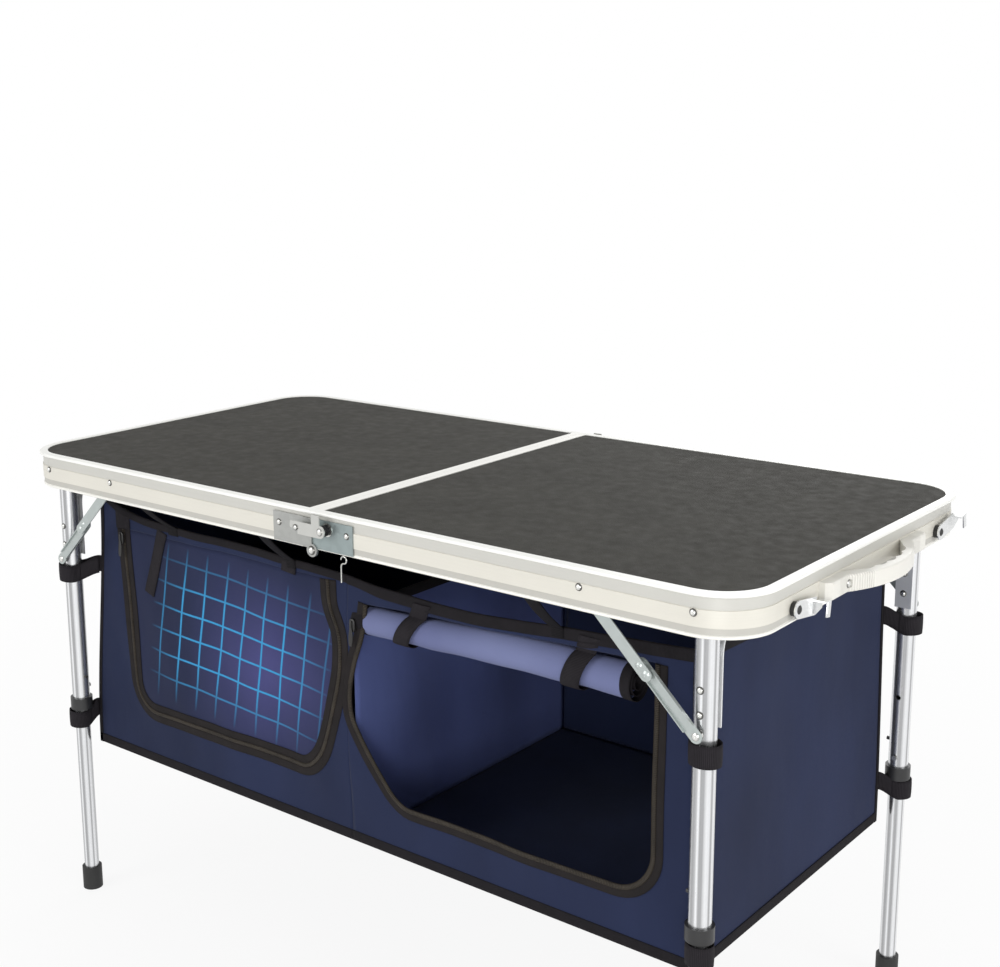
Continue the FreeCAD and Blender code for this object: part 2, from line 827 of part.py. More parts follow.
def latch_bushes():
    """Rubber bushes with rivets on which the latch hooks turn."""
    pieces = []
    z = table_height - latch_drop
    bush_end = end_face + latch_bush_height
    plate_end = bush_end + latch_thickness
    for side in (-1, 1):
        y = side * latch_y
        bush = end_cylinder(y, z, end_face, bush_end, latch_bush_radius)
        rivet = end_cylinder(y, z, bush_end, plate_end, pivot_pin_radius)
        shank = end_cylinder(y, z, end_inner_face, end_face, screw_radius)
        base = FreeCAD.Vector(plate_end, y, z)
        head = dome(base, FreeCAD.Vector(1, 0, 0), rivet_head_radius, rivet_head_height)
        pieces.append(joined([shank, bush, rivet, head]))
    return group(pieces)


def latch_hook(side, tilt):
    """Plate that swings on its bush, with an ear bent out and a hooked finger."""
    z = table_height - latch_drop
    y = side * latch_y
    x0 = end_face + latch_bush_height
    x1 = x0 + latch_thickness
    ear_x = x1 + latch_ear_reach
    tip = y + latch_length
    ear_y = tip - latch_ear_length
    upper = z + latch_half_width
    nose = z + latch_half_width - latch_nose_drop
    profile = [
        FreeCAD.Vector(x0, y, z - latch_half_width), FreeCAD.Vector(x0, ear_y, z - latch_half_width),
        FreeCAD.Vector(x0, tip, z - latch_nose_drop), FreeCAD.Vector(x0, tip, nose),
        FreeCAD.Vector(x0, ear_y, nose), FreeCAD.Vector(x0, ear_y, upper),
        FreeCAD.Vector(x0, y, upper),
    ]
    face = Part.Face(Part.makePolygon(profile + profile[:1]))
    plate = face.extrude(FreeCAD.Vector(latch_thickness, 0, 0))
    round_end = end_cylinder(y, z, x0, x1, latch_half_width)
    ear = box(x0, ear_x, ear_y, tip, nose - latch_thickness, nose)
    finger = box(ear_x - latch_thickness, ear_x, tip - latch_finger_width, tip,
                 nose - latch_finger_length, nose)
    hook = joined([plate, round_end, ear, finger])
    hook = hook.cut(end_cylinder(y, z, x0 - overrun, x1 + overrun, pin_hole_radius))
    hook.rotate(FreeCAD.Vector(0, y, z), FreeCAD.Vector(1, 0, 0), tilt)
    return hook


def catch_studs():
    """Headed studs at the left end for the latch hooks, made on the right first."""
    pieces = []
    z = table_height - catch_drop
    face = half_length - upper_band_inset
    head_x = catch_tip - catch_head_height
    for side in (-1, 1):
        y = side * latch_y
        stem = end_cylinder(y, z, end_inner_face, face, screw_radius)
        stud = end_cylinder(y, z, face, head_x, catch_radius)
        head = end_cylinder(y, z, head_x, catch_tip, catch_head_radius)
        pieces.append(left_of(joined([stem, stud, head])))
    return group(pieces)


# Legs


def upper_tubes():
    """Upper leg tubes with their pin, rivet and button holes."""
    z0 = upper_tube_foot_z
    z1 = leg_pivot_z + upper_tube_above_pivot
    tube = cylinder_z(leg_pivot_x, -leg_reach, z0, z1, upper_tube_radius)
    tube = tube.cut(cylinder_z(leg_pivot_x, -leg_reach, z0 - overrun, z1 + overrun, upper_bore))
    outside = tube_outer_reach + overrun
    inside = tube_inner_reach - overrun
    bores = [
        front_cylinder(leg_pivot_x, leg_pivot_z, inside, outside, pin_hole_radius),
        front_cylinder(leg_pivot_x, upper_leg_screw_z, inside, outside, screw_hole_radius),
        front_cylinder(leg_pivot_x, lower_leg_screw_z, inside, outside, screw_hole_radius),
        front_cylinder(leg_pivot_x, brace_end_z, leg_reach, outside, pin_hole_radius),
        front_cylinder(leg_pivot_x, button_z, inside, leg_reach, button_hole_radius),
        front_cylinder(leg_pivot_x, button_z + hole_spacing, inside, leg_reach,
                       button_hole_radius),
        end_cylinder(-leg_reach, plug_z, leg_pivot_x - upper_tube_radius - overrun, leg_pivot_x,
                     plug_radius + running_clearance),
    ]
    for bore in bores:
        tube = tube.cut(bore)
    return group(front_and_rear([tube]))


def crosspiece():
    """Arched strip that joins the two legs of a pair."""
    outer = tube_inner_reach - running_clearance
    inner = outer - crosspiece_thickness
    top = table_height - crosspiece_top_drop
    under = top - crosspiece_thickness
    x0 = leg_pivot_x - crosspiece_width / 2
    bend = crosspiece_bend_radius
    inner_bend = bend - crosspiece_thickness
    slant = math.sqrt(0.5)

    def point(y, z):
        return FreeCAD.Vector(x0, y, z)

    def bend_point(side, radius):
        return point(side * (outer - bend + radius * slant), top - bend + radius * slant)

    moves = [
        (point(-outer, top - bend),),
        (bend_point(-1, bend), point(bend - outer, top)),
        (point(outer - bend, top),),
        (bend_point(1, bend), point(outer, top - bend)),
        (point(outer, crosspiece_end_z),),
        (point(inner, crosspiece_end_z),),
        (point(inner, top - bend),),
        (bend_point(1, inner_bend), point(outer - bend, under)),
        (point(bend - outer, under),),
        (bend_point(-1, inner_bend), point(-inner, top - bend)),
        (point(-inner, crosspiece_end_z),),
    ]
    face = Part.Face(path_wire(point(-outer, crosspiece_end_z), moves))
    strip = face.extrude(FreeCAD.Vector(crosspiece_width, 0, 0))
    for z in (upper_leg_screw_z, lower_leg_screw_z):
        bore = front_cylinder(leg_pivot_x, z, -outer - overrun, outer + overrun,
                              screw_hole_radius)
        strip = strip.cut(bore)
    return strip


def leg_rivets():
    """Rivets of the crosspiece and the brace pins of a leg pair."""
    inner = tube_inner_reach - running_clearance - crosspiece_thickness
    outer = tube_outer_reach
    pieces = []
    for z in (upper_leg_screw_z, lower_leg_screw_z):
        shank = front_cylinder(leg_pivot_x, z, inner, outer, screw_radius)
        outer_head = dome(FreeCAD.Vector(leg_pivot_x, -outer, z), FreeCAD.Vector(0, -1, 0),
                          screw_head_radius, screw_head_height)
        inner_head = dome(FreeCAD.Vector(leg_pivot_x, -inner, z), FreeCAD.Vector(0, 1, 0),
                          screw_head_radius, screw_head_height)
        pieces.append(joined([shank, outer_head, inner_head]))
    stem_start = leg_reach + upper_bore + loose_clearance
    boss_end = lower_web_inner - link_spacing
    stem = front_cylinder(leg_pivot_x, brace_end_z, stem_start, outer, pivot_pin_radius)
    boss = front_cylinder(leg_pivot_x, brace_end_z, outer, boss_end, brace_boss_radius)
    pin = front_cylinder(leg_pivot_x, brace_end_z, boss_end, lower_web_outer + link_spacing,
                         pivot_pin_radius)
    base = FreeCAD.Vector(leg_pivot_x, -lower_web_outer - link_spacing, brace_end_z)
    head = dome(base, FreeCAD.Vector(0, -1, 0), screw_head_radius, pin_head_height)
    pieces.append(joined([stem, boss, pin, head]))
    return group(front_and_rear(pieces))


def collars():
    """Plastic collar at the foot of each upper tube, with the stop plug above it."""
    z1 = upper_tube_foot_z + collar_overlap
    z0 = z1 - collar_height
    ring = cylinder_z(leg_pivot_x, -leg_reach, z0, z1, collar_radius)
    ring = ring.cut(cylinder_z(leg_pivot_x, -leg_reach, z0 - overrun, z1, upper_bore))
    ring = ring.cut(cylinder_z(leg_pivot_x, -leg_reach, upper_tube_foot_z, z1 + overrun,
                               upper_tube_radius + running_clearance))
    plug_start = leg_pivot_x - upper_tube_radius - plug_length
    plug_end = leg_pivot_x - upper_bore - running_clearance * 2
    plug = end_cylinder(-leg_reach, plug_z, plug_start, plug_end, plug_radius)
    return group(front_and_rear([ring, plug]))


def lower_tube():
    """Telescopic lower tube of the front leg."""
    z1 = foot_sole + lower_tube_length
    tube = cylinder_z(leg_pivot_x, -leg_reach, foot_sole, z1, lower_tube_radius)
    tube = tube.cut(cylinder_z(leg_pivot_x, -leg_reach, foot_sole - overrun, z1 + overrun,
                               lower_bore))
    return tube.cut(front_cylinder(leg_pivot_x, button_z, tube_inner_reach - overrun, leg_reach,
                                   button_hole_radius))


def foot():
    """Rubber cap under the lower tube."""
    cap = cylinder_z(leg_pivot_x, -leg_reach, 0, foot_height, foot_radius)
    socket = cylinder_z(leg_pivot_x, -leg_reach, foot_sole, foot_height + overrun,
                        lower_tube_radius + running_clearance)
    return cap.cut(socket)


def snap_clip():
    """Bent spring strip with the button that locks the leg's height."""
    strip_out = leg_reach - lower_bore + clip_seat
    strip_in = strip_out + clip_strip_thickness
    bend_z = button_z - clip_strip_length
    half = clip_strip_width / 2
    button_end = tube_inner_reach - button_reach_out
    button = front_cylinder(leg_pivot_x, button_z, button_end, strip_in, button_radius)
    strip = front_box(leg_pivot_x - half, leg_pivot_x + half, strip_out + clip_seat, strip_in,
                      bend_z, button_z + clip_flange_radius)
    far_out = strip_in + 2 * clip_bend_radius
    far = front_box(leg_pivot_x - half, leg_pivot_x + half, far_out - clip_strip_thickness,
                    far_out, bend_z, button_z)
    outer_radius = (far_out - strip_out - clip_seat) / 2
    middle_reach = (far_out + strip_out + clip_seat) / 2
    centre = FreeCAD.Vector(leg_pivot_x - half, -middle_reach, bend_z)
    bend = Part.makeCylinder(outer_radius, clip_strip_width, centre, FreeCAD.Vector(1, 0, 0))
    hollow = Part.makeCylinder(outer_radius - clip_strip_thickness, clip_strip_width, centre,
                               FreeCAD.Vector(1, 0, 0))
    keep = front_box(leg_pivot_x - half, leg_pivot_x + half, middle_reach - outer_radius,
                     middle_reach + outer_radius, bend_z - outer_radius, bend_z)
    bend = bend.cut(hollow).common(keep)
    return joined([button, strip, bend, far])


def leg_straps():
    """Webbing loops round both legs of a pair with tails to the organizer corners."""
    pieces = []
    places = ((upper_strap_top_z, upper_tube_radius), (lower_strap_top_z, lower_tube_radius))
    corner_x = organizer_half_length + cloth_clearance + strap_thickness / 2
    corner_reach = organizer_half_depth + cloth_clearance + strap_thickness / 2
    for top, tube_radius in places:
        inner = tube_radius + strap_gap
        outer = inner + strap_thickness
        z0 = top - strap_height
        ring = cylinder_z(leg_pivot_x, -leg_reach, z0, top, outer)
        tail_length = math.dist((leg_pivot_x, leg_reach), (corner_x, corner_reach))
        slope = math.degrees(math.atan2(leg_reach - corner_reach, corner_x - leg_pivot_x))
        tail = box(0, tail_length, -strap_thickness / 2, strap_thickness / 2, z0, top)
        tail.rotate(FreeCAD.Vector(0, 0, 0), FreeCAD.Vector(0, 0, 1), slope)
        tail.translate(FreeCAD.Vector(leg_pivot_x, -leg_reach, 0))
        strap = joined([ring, tail])
        bore = cylinder_z(leg_pivot_x, -leg_reach, z0 - overrun, top + overrun, inner)
        pieces.append(strap.cut(bore))
    return group(front_and_rear(pieces))


# Brace links


def upper_links():
    """Upper links with their toggle and stop heads, hung from the brackets."""
    top = (brace_top_x, leg_pivot_z)
    knee = (toggle_x, toggle_z)
    length = math.dist(top, knee)
    along = ((knee[0] - top[0]) / length, (knee[1] - top[1]) / length)
    stop = (knee[0] + along[0] * stop_distance, knee[1] + along[1] * stop_distance)
    bar = front_bar(top, stop, upper_link_width, upper_link_inner, upper_link_outer)
    hole = front_cylinder(top[0], top[1], upper_link_inner - overrun, upper_link_outer + overrun,
                          pin_hole_radius)
    heads = []
    for place, radius in ((knee, toggle_head_radius), (stop, stop_head_radius)):
        base = FreeCAD.Vector(place[0], -upper_link_outer, place[1])
        heads.append(dome(base, FreeCAD.Vector(0, -1, 0), radius, link_head_height))
    link = joined([bar.cut(hole)] + heads)
    return group(front_and_rear([link]))


def lower_links():
    """Lower channel links between the leg pins and the toggles."""
    foot_end = (leg_pivot_x, brace_end_z)
    knee = (toggle_x, toggle_z)
    length = math.dist(foot_end, knee)
    web = front_bar((0, 0), (length, 0), lower_link_width, lower_web_inner, lower_web_outer)
    half = lower_link_width / 2
    walls = []
    for z0 in (-half, half - channel_wall):
        walls.append(front_box(channel_end_cut, length - channel_end_cut, lower_web_inner,
                               channel_outer, z0, z0 + channel_wall))
    boss = front_cylinder(length, 0, lower_web_outer, bracket_outer, toggle_head_radius)
    hole = front_cylinder(0, 0, lower_web_inner - overrun, lower_web_outer + overrun,
                          pin_hole_radius)
    link = joined([web] + walls + [boss]).cut(hole)
    slope = math.degrees(math.atan2(knee[1] - foot_end[1], knee[0] - foot_end[0]))
    link.rotate(FreeCAD.Vector(0, 0, 0), FreeCAD.Vector(0, -1, 0), slope)
    link.translate(FreeCAD.Vector(foot_end[0], 0, foot_end[1]))
    return group(front_and_rear([link]))


# Organizer


def at_drop(x, drop):
    return (x, table_height - drop)


def door_outline(margin):
    """Corners and arcs of the left door, grown outwards by a margin except at the top."""
    top = table_height - door_top_drop

    def point(x, z):
        return FreeCAD.Vector(x, -wall_inner_reach, z)

    bottom = table_height - door_bottom_drop - margin
    left_top = door_left_top_x - margin
    left_low = door_left_bottom_x - margin
    right_top = door_right_top_x + margin
    bulge = door_right_bulge_x + margin
    right_low = door_right_bottom_x + margin
    corner_z = bottom + door_corner_left
    low_z = table_height - door_right_bottom_drop
    bulge_z = table_height - door_right_bulge_drop
    slant = math.sqrt(0.5)
    corner_mid = point(left_low + door_corner_left * (1 - slant),
                       bottom + door_corner_left * (1 - slant))
    right_mid = point(right_low - door_corner_right * (1 - slant),
                      bottom + door_corner_right * (1 - slant))
    moves = [
        (point(left_low, corner_z),),
        (corner_mid, point(left_low + door_corner_left, bottom)),
        (point(right_low - door_corner_right, bottom),),
        (right_mid, point(right_low, low_z)),
        (point(bulge, bulge_z), point(right_top, top)),
    ]
    return path_wire(point(left_top, top), moves)


def door_sheet(margin, reach0, reach1):
    """Sheet of the door's outline between two reaches."""
    face = Part.Face(door_outline(margin))
    face.translate(FreeCAD.Vector(0, wall_inner_reach - reach0, 0))
    return face.extrude(FreeCAD.Vector(0, reach0 - reach1, 0))


def right_opening(reach0, reach1):
    """Block that cuts the open doorway on the right, rounded at the bottom."""
    bottom = table_height - opening_bottom_drop
    slant = math.sqrt(0.5)
    inset = opening_corner * (1 - slant)

    def point(x, z):
        return FreeCAD.Vector(x, -reach0, z)

    moves = [
        (point(opening_left_x, bottom + opening_corner),),
        (point(opening_left_x + inset, bottom + inset),
         point(opening_left_x + opening_corner, bottom)),
        (point(opening_right_x - opening_corner, bottom),),
        (point(opening_right_x - inset, bottom + inset),
         point(opening_right_x, bottom + opening_corner)),
        (point(opening_right_x, table_height - opening_right_top_drop),),
    ]
    start = point(opening_left_x, table_height - opening_left_top_drop)
    face = Part.Face(path_wire(start, moves))
    return face.extrude(FreeCAD.Vector(0, reach0 - reach1, 0))


def front_edge(bottom):
    """Corners of a long wall with its sagging top edge."""
    x1 = organizer_half_length
    return [
        (-x1, bottom), at_drop(-x1, front_edge_left_drop),
        at_drop(front_edge_middle_x, front_edge_middle_drop),
        at_drop(front_edge_post_x, front_edge_post_drop),
        at_drop(x1, front_edge_right_drop), (x1, bottom),
    ]


def organizer_body():
    """Fabric box, open at the top, with a divider, a door hole and an open doorway."""
    x1 = organizer_half_length
    y1 = organizer_half_depth
    inner = wall_inner_reach
    bottom = organizer_bottom_z
    front = front_plate(front_edge(bottom), inner, y1)
    rear = rear_of(front)
    front = front.cut(door_sheet(loose_clearance, inner - overrun, y1 + overrun))
    front = front.cut(right_opening(inner - overrun, y1 + overrun))
    top = table_height - organizer_end_top_drop
    right_end = box(x1 - cloth_thickness, x1, -y1, y1, bottom, top)
    floor = box(-x1, x1, -y1, y1, bottom, bottom + cloth_thickness)
    divider = box(divider_x, divider_x + cloth_thickness, -inner, inner, bottom,
                  table_height - divider_top_drop)
    return joined([front, rear, right_end, left_of(right_end), floor, divider])


def hanging_loops():
    """Slanted webbing loops from under the rail ledge to the top edge of the walls."""
    pieces = []
    top = rail_bottom_z + loop_top_drop
    low = table_height - front_edge_middle_drop
    outer = rail_inner_face - cloth_clearance
    near = organizer_half_depth + cloth_clearance
    for x in (loop_x, loop_outer_x, -loop_outer_x):
        side = x - loop_width / 2
        corners = [
            FreeCAD.Vector(side, -outer, top),
            FreeCAD.Vector(side, -outer, rail_bottom_z),
            FreeCAD.Vector(side, -near - cloth_thickness, low),
            FreeCAD.Vector(side, -near, low),
            FreeCAD.Vector(side, cloth_thickness - outer, rail_bottom_z),
            FreeCAD.Vector(side, cloth_thickness - outer, top),
        ]
        face = Part.Face(Part.makePolygon(corners + corners[:1]))
        pieces.append(face.extrude(FreeCAD.Vector(loop_width, 0, 0)))
    return group(front_and_rear(pieces))


def left_door():
    """Door panel in the left hole, hung along its top edge."""
    return door_sheet(0, wall_inner_reach, organizer_half_depth)


def zip_tapes():
    """Zip tapes on the fixed cloth round the left door and the right doorway."""
    reach0 = organizer_half_depth + cloth_clearance
    reach1 = reach0 + zip_tape_thickness
    left = door_sheet(zip_tape_width, reach0, reach1)
    left = left.cut(door_sheet(loose_clearance, reach0 - overrun, reach1 + overrun))
    x0 = opening_left_x - right_tape_width
    right = front_box(x0, opening_left_x, reach0, reach1,
                      table_height - opening_bottom_drop + opening_corner,
                      table_height - opening_left_top_drop)
    return group([left, right])


def roll_frame():
    """Start point, direction and length of the rolled door's axis."""
    reach = organizer_half_depth + roll_overhang - roll_radius
    start = FreeCAD.Vector(roll_start_x, -reach, table_height - roll_start_drop)
    end = FreeCAD.Vector(roll_end_x, -reach, table_height - roll_end_drop)
    along = end - start
    return start, along, along.Length


def door_roll():
    """Right door rolled up under its top edge."""
    start, along, length = roll_frame()
    return Part.makeCylinder(roll_radius, length, start, along)


def roll_ties():
    """Two webbing ties round the rolled door, sewn to the cloth above the doorway."""
    start, along, length = roll_frame()
    pieces = []
    inner = roll_radius + cloth_clearance
    outer = inner + tie_thickness
    tail_inner = organizer_half_depth + cloth_clearance
    for x in (tie_first_x, tie_second_x):
        share = (x - roll_start_x) / (roll_end_x - roll_start_x)
        half = along * (tie_width / 2 / length)
        middle = start + along * share
        ring = Part.makeCylinder(outer, tie_width, middle - half, along)
        tail = front_box(x - tie_width / 2, x + tie_width / 2, tail_inner,
                         tail_inner + tie_thickness, middle.z, middle.z + tie_tail_height)
        tie = joined([ring, tail])
        bore_start = middle - half * 2
        pieces.append(tie.cut(Part.makeCylinder(inner, 2 * tie_width, bore_start, along)))
    return group(pieces)


def zip_slider(x, drop):
    """Zip slider with its pull tab."""
    z = table_height - drop
    reach0 = organizer_half_depth + cloth_clearance + zip_tape_thickness + cloth_clearance
    reach1 = reach0 + slider_thickness
    body = front_box(x - slider_width / 2, x + slider_width / 2, reach0, reach1,
                     z - slider_length, z)
    tab_top = z - slider_length / 2
    tab = front_box(x - slider_tab_width / 2, x + slider_tab_width / 2, reach1,
                    reach1 + slider_tab_thickness, tab_top - slider_tab_length, tab_top)
    return joined([body, tab])


def hanging_hooks():
    """Bent wire hooks under the rail, front and rear, that carry the organizer."""
    reach = rail_inner_face + hook_wire_radius
    top = rail_bottom_z - hook_wire_radius - cloth_clearance
    r = hook_eye_radius

    def point(x, z):
        return FreeCAD.Vector(hook_x + x, -reach, z)

    eye_low = top - 2 * r
    edges = [
        Part.Arc(point(-r, top - r), point(0, top), point(r, top - r)).toShape(),
        Part.Arc(point(r, top - r), point(r * math.sqrt(0.5), top - r - r * math.sqrt(0.5)),
                 point(0, eye_low)).toShape(),
        Part.Arc(point(0, eye_low), point(-r * math.sqrt(0.5), eye_low - r + r * math.sqrt(0.5)),
                 point(-r, eye_low - r)).toShape(),
        Part.LineSegment(point(-r, eye_low - r), point(-r, top - hook_leg_drop)).toShape(),
    ]
    route = Part.Wire(edges)
    tangent = edges[0].tangentAt(edges[0].FirstParameter)
    ring = Part.Wire(Part.makeCircle(hook_wire_radius, point(-r, top - r), tangent))
    shell = Part.BRepOffsetAPI.MakePipeShell(route)
    shell.add(ring)
    shell.build()
    shell.makeSolid()
    return group(front_and_rear([shell.shape()]))


# Assembly of all named pieces


def all_nodes():
    """Every named piece in its place, before the table is centred on X."""
    rail = right_rail()
    for bore in rail_holes():
        rail = rail.cut(bore)
    nodes = {
        "right_rail": cut_right_end_holes(rail),
        "left_rail": left_of(cut_left_end_holes(rail)),
        "right_panel": right_panel(),
        "left_panel": left_of(right_panel()),
        "right_seam_bar": right_seam_bar(),
        "left_seam_bar": left_of(right_seam_bar()),
        "right_screws_and_rivets": right_screws_and_rivets(),
        "left_screws_and_rivets": group([left_of(piece) for piece in rail_screws()]),
        "right_hinge_leaves": group(front_and_rear([right_leaf()])),
        "left_hinge_leaves": group(front_and_rear([left_leaf()])),
        "hinge_pins": hinge_pins(),
        "lock_posts": lock_posts(),
        "lock_springs": lock_springs(),
        "lock_studs": lock_studs(),
        "lock_hook_front": lock_hook(),
        "lock_hook_rear": rear_of(lock_hook()),
        "handle": handle(),
        "latch_bushes": latch_bushes(),
        "latch_hook_near": latch_hook(-1, near_latch_tilt),
        "latch_hook_far": latch_hook(1, far_latch_tilt),
        "catch_studs": catch_studs(),
        "organizer_body": organizer_body(),
        "hanging_loops": hanging_loops(),
        "left_door": left_door(),
        "zip_tapes": zip_tapes(),
        "door_roll": door_roll(),
        "roll_ties": roll_ties(),
        "left_zip_slider": zip_slider(left_slider_x, left_slider_drop),
        "right_zip_slider": zip_slider(right_slider_x, right_slider_drop),
        "hanging_hooks": hanging_hooks(),
    }
    pair_pieces = {
        "leg_hangers": leg_hangers(),
        "brace_brackets": brace_brackets(),
        "upper_tubes": upper_tubes(),
        "crosspiece": crosspiece(),
        "leg_rivets": leg_rivets(),
        "collars": collars(),
        "leg_straps": leg_straps(),
        "upper_links": upper_links(),
        "lower_links": lower_links(),
    }
    for name, shape in pair_pieces.items():
        nodes["right_" + name] = shape
        nodes["left_" + name] = left_of(shape)
    single_pieces = {"lower_tube": lower_tube(), "foot": foot(), "snap_clip": snap_clip()}
    for name, shape in single_pieces.items():
        nodes["right_front_" + name] = shape
        nodes["right_rear_" + name] = rear_of(shape)
        nodes["left_front_" + name] = left_of(shape)
        nodes["left_rear_" + name] = left_of(rear_of(shape))
    return nodes


def main():
    os.makedirs("parts", exist_ok=True)
    for name, shape in all_nodes().items():
        shape.translate(FreeCAD.Vector(centre_shift, 0, 0))
        solids = shape.Solids
        print(name, "solids", len(solids), "valid", shape.isValid(), "volume", round(shape.Volume))
        shape.exportStep(os.path.join("parts", name + ".step"))


main()
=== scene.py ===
# %% [markdown]
# # A folding camping table with a cloth organizer
# The table folds like a suitcase. Two leaves, each a board in an aluminium rail, meet
# at a seam and hang on two hinges. Four telescopic legs swing out of the rail and are
# held by toggle braces. A cloth organizer hangs between the legs.
# The metal and plastic parts come from the CAD model as they are and only get their
# finishes here. Everything sewn is made again in this file, because cloth is soft and
# the CAD model can only hold its rough space.
# The first cell loads the CAD model as a fixed frame.

# %% Load the model
import math
import bpy
import numpy as np
from mathutils import Matrix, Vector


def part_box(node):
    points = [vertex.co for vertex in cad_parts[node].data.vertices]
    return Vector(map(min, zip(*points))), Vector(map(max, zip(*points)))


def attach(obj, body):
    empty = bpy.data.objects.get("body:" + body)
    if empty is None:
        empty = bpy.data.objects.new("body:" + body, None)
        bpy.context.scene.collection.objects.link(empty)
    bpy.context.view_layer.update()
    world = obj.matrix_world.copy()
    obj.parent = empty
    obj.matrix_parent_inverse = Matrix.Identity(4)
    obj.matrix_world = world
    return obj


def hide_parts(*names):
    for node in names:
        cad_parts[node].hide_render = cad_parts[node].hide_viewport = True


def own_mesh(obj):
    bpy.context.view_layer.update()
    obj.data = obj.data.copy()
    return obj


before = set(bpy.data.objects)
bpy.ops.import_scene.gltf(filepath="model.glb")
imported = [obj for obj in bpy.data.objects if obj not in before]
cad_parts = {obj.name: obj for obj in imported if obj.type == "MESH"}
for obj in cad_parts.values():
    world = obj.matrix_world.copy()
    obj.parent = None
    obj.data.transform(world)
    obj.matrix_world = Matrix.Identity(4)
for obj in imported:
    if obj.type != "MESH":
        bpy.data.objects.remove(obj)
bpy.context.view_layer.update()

# %% [markdown]
# # Where things are
# All lengths are metres. The model is centred on its box, and the carrying handle
# makes that box longer at the right end, so the middle of the table top is a little
# to the left of zero. Every sewn piece is drawn from the middle of the top, and is
# shifted by this amount when its mesh is made.

# %% The table's middle, rail and organizer
table_middle = (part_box("left_rail")[0].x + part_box("right_rail")[1].x) / 2
rail_low, rail_high = (corner.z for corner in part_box("right_rail"))
body_low, body_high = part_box("organizer_body")
half_long = (body_high.x - body_low.x) / 2
half_deep = (body_high.y - body_low.y) / 2
floor_z = body_low.z
seam_x, divider_x, divider_top = 0.004, 0.0105, 0.560
front, rear = (0, -1, 0), (0, 1, 0)
print("middle", round(table_middle, 4), "rail", rail_low, rail_high)
print("organizer half length and depth", round(half_long, 3), round(half_deep, 3))

# %% [markdown]
# # Tools for surfaces
# A sewn piece is a sheet, and a sheet is a grid of points, worked out with numpy as
# whole arrays. A few helpers turn such grids into meshes. Each corner also keeps its
# place on the flat cloth, in metres, as a UV map, so that a weave follows the cloth
# round every bend.

# %% Points and faces of a grid
def points(x, y, z):
    """Places from three numbers or arrays, which are first spread to one shape."""
    return np.stack(np.broadcast_arrays(x, y, z), axis=-1)


def plain_grid(a0, a1, b0, b1, columns, rows):
    """Two arrays of a grid: a along the columns, b along the rows, in even steps."""
    return np.meshgrid(np.linspace(a0, a1, columns), np.linspace(b0, b1, rows))


def grid_faces(rows, columns, closed=False):
    """Quads of a grid: each joins a point, the next one along, and the two above them.
    A closed grid joins its last column to its first."""
    number = np.arange(rows * columns).reshape(rows, columns)
    if closed:
        number = np.concatenate([number, number[:, :1]], axis=1)
    corners = [number[:-1, :-1], number[:-1, 1:], number[1:, 1:], number[1:, :-1]]
    return np.stack(corners, axis=-1).reshape(-1, 4)


def flat_measure(grid, closed=False):
    """Place of each point on the flat cloth: the way walked along the rows and along
    the columns, added up step by step and averaged over the sheet."""
    if closed:
        grid = np.concatenate([grid, grid[:, :1]], axis=1)
    along = np.linalg.norm(np.diff(grid, axis=1), axis=2).mean(axis=0)
    across = np.linalg.norm(np.diff(grid, axis=0), axis=2).mean(axis=1)
    way_along, way_across = (np.append(0, np.cumsum(step)) for step in (along, across))
    return np.stack(np.meshgrid(way_along, way_across), axis=-1)


# %% Turn a sheet to face outwards
def facing(grid, outward):
    """The same grid with its rows in the order that makes its faces look along the
    outward direction: the cross product of the two grid steps, summed over the grid,
    is compared with it."""
    along = grid[:-1, 1:] - grid[:-1, :-1]
    across = grid[1:, :-1] - grid[:-1, :-1]
    look = np.cross(along, across)
    outward = np.broadcast_to(np.asarray(outward, float), grid.shape)[:-1, :-1]
    return grid if (look * outward).sum() > 0 else grid[::-1]


def facing_out(grid, axis):
    """The same grid turned to look away from an upright axis at (x, y)."""
    away = grid - [axis[0], axis[1], 0]
    away[..., 2] = 0
    return facing(grid, away)


# %% Make a piece from grids
def sew(name, grids, finish, thick=0.001, flats=None, closed=False, ends=False,
        inwards=-1):
    """One mesh object from a list of grids of points (rows, columns, 3) measured from
    the table's middle. Its thickness comes from Solidify, on the inner side. ends puts
    one flat face over the first and the last ring of each closed grid."""
    vertices, faces, flat, lids, start = [], [], [], [], 0
    for i, grid in enumerate(grids):
        rows, columns = grid.shape[:2]
        measure = flat_measure(grid, closed) if flats is None else flats[i]
        corner = grid_faces(rows, columns + 1 if closed else columns)
        flat.append(measure.reshape(-1, 2)[corner].reshape(-1, 2))
        vertices.append(grid.reshape(-1, 3))
        faces.append(grid_faces(rows, columns, closed) + start)
        if ends:
            lids += [list(range(start + columns - 1, start - 1, -1)),
                     list(range(start + (rows - 1) * columns, start + rows * columns))]
            flat.append(np.zeros((2 * columns, 2)))
        start += rows * columns
    vertices = np.concatenate(vertices) + [table_middle, 0, 0]
    faces = np.concatenate(faces).tolist() + lids
    if ends:
        flat = flat[0::2] + flat[1::2]
    mesh = bpy.data.meshes.new(name)
    mesh.from_pydata(vertices.tolist(), [], faces)
    mesh.polygons.foreach_set("use_smooth", np.ones(len(faces), bool))
    layer = mesh.uv_layers.new(name="cloth")
    layer.uv.foreach_set("vector", np.concatenate(flat).astype(np.float32).ravel())
    mesh.materials.append(finish)
    mesh.update()
    piece = bpy.data.objects.new(name, mesh)
    bpy.context.scene.collection.objects.link(piece)
    if thick:
        wall = piece.modifiers.new("thickness", "SOLIDIFY")
        wall.thickness, wall.offset = thick, inwards
    print(name, len(faces), "quads")
    return piece


# %% [markdown]
# # Drawn lines
# A sewing pattern is drawn as a few marked points joined by a fair curve. These small
# functions do the same: a smooth line through marks, a line cut into even steps, and
# a soft step that starts and ends level.

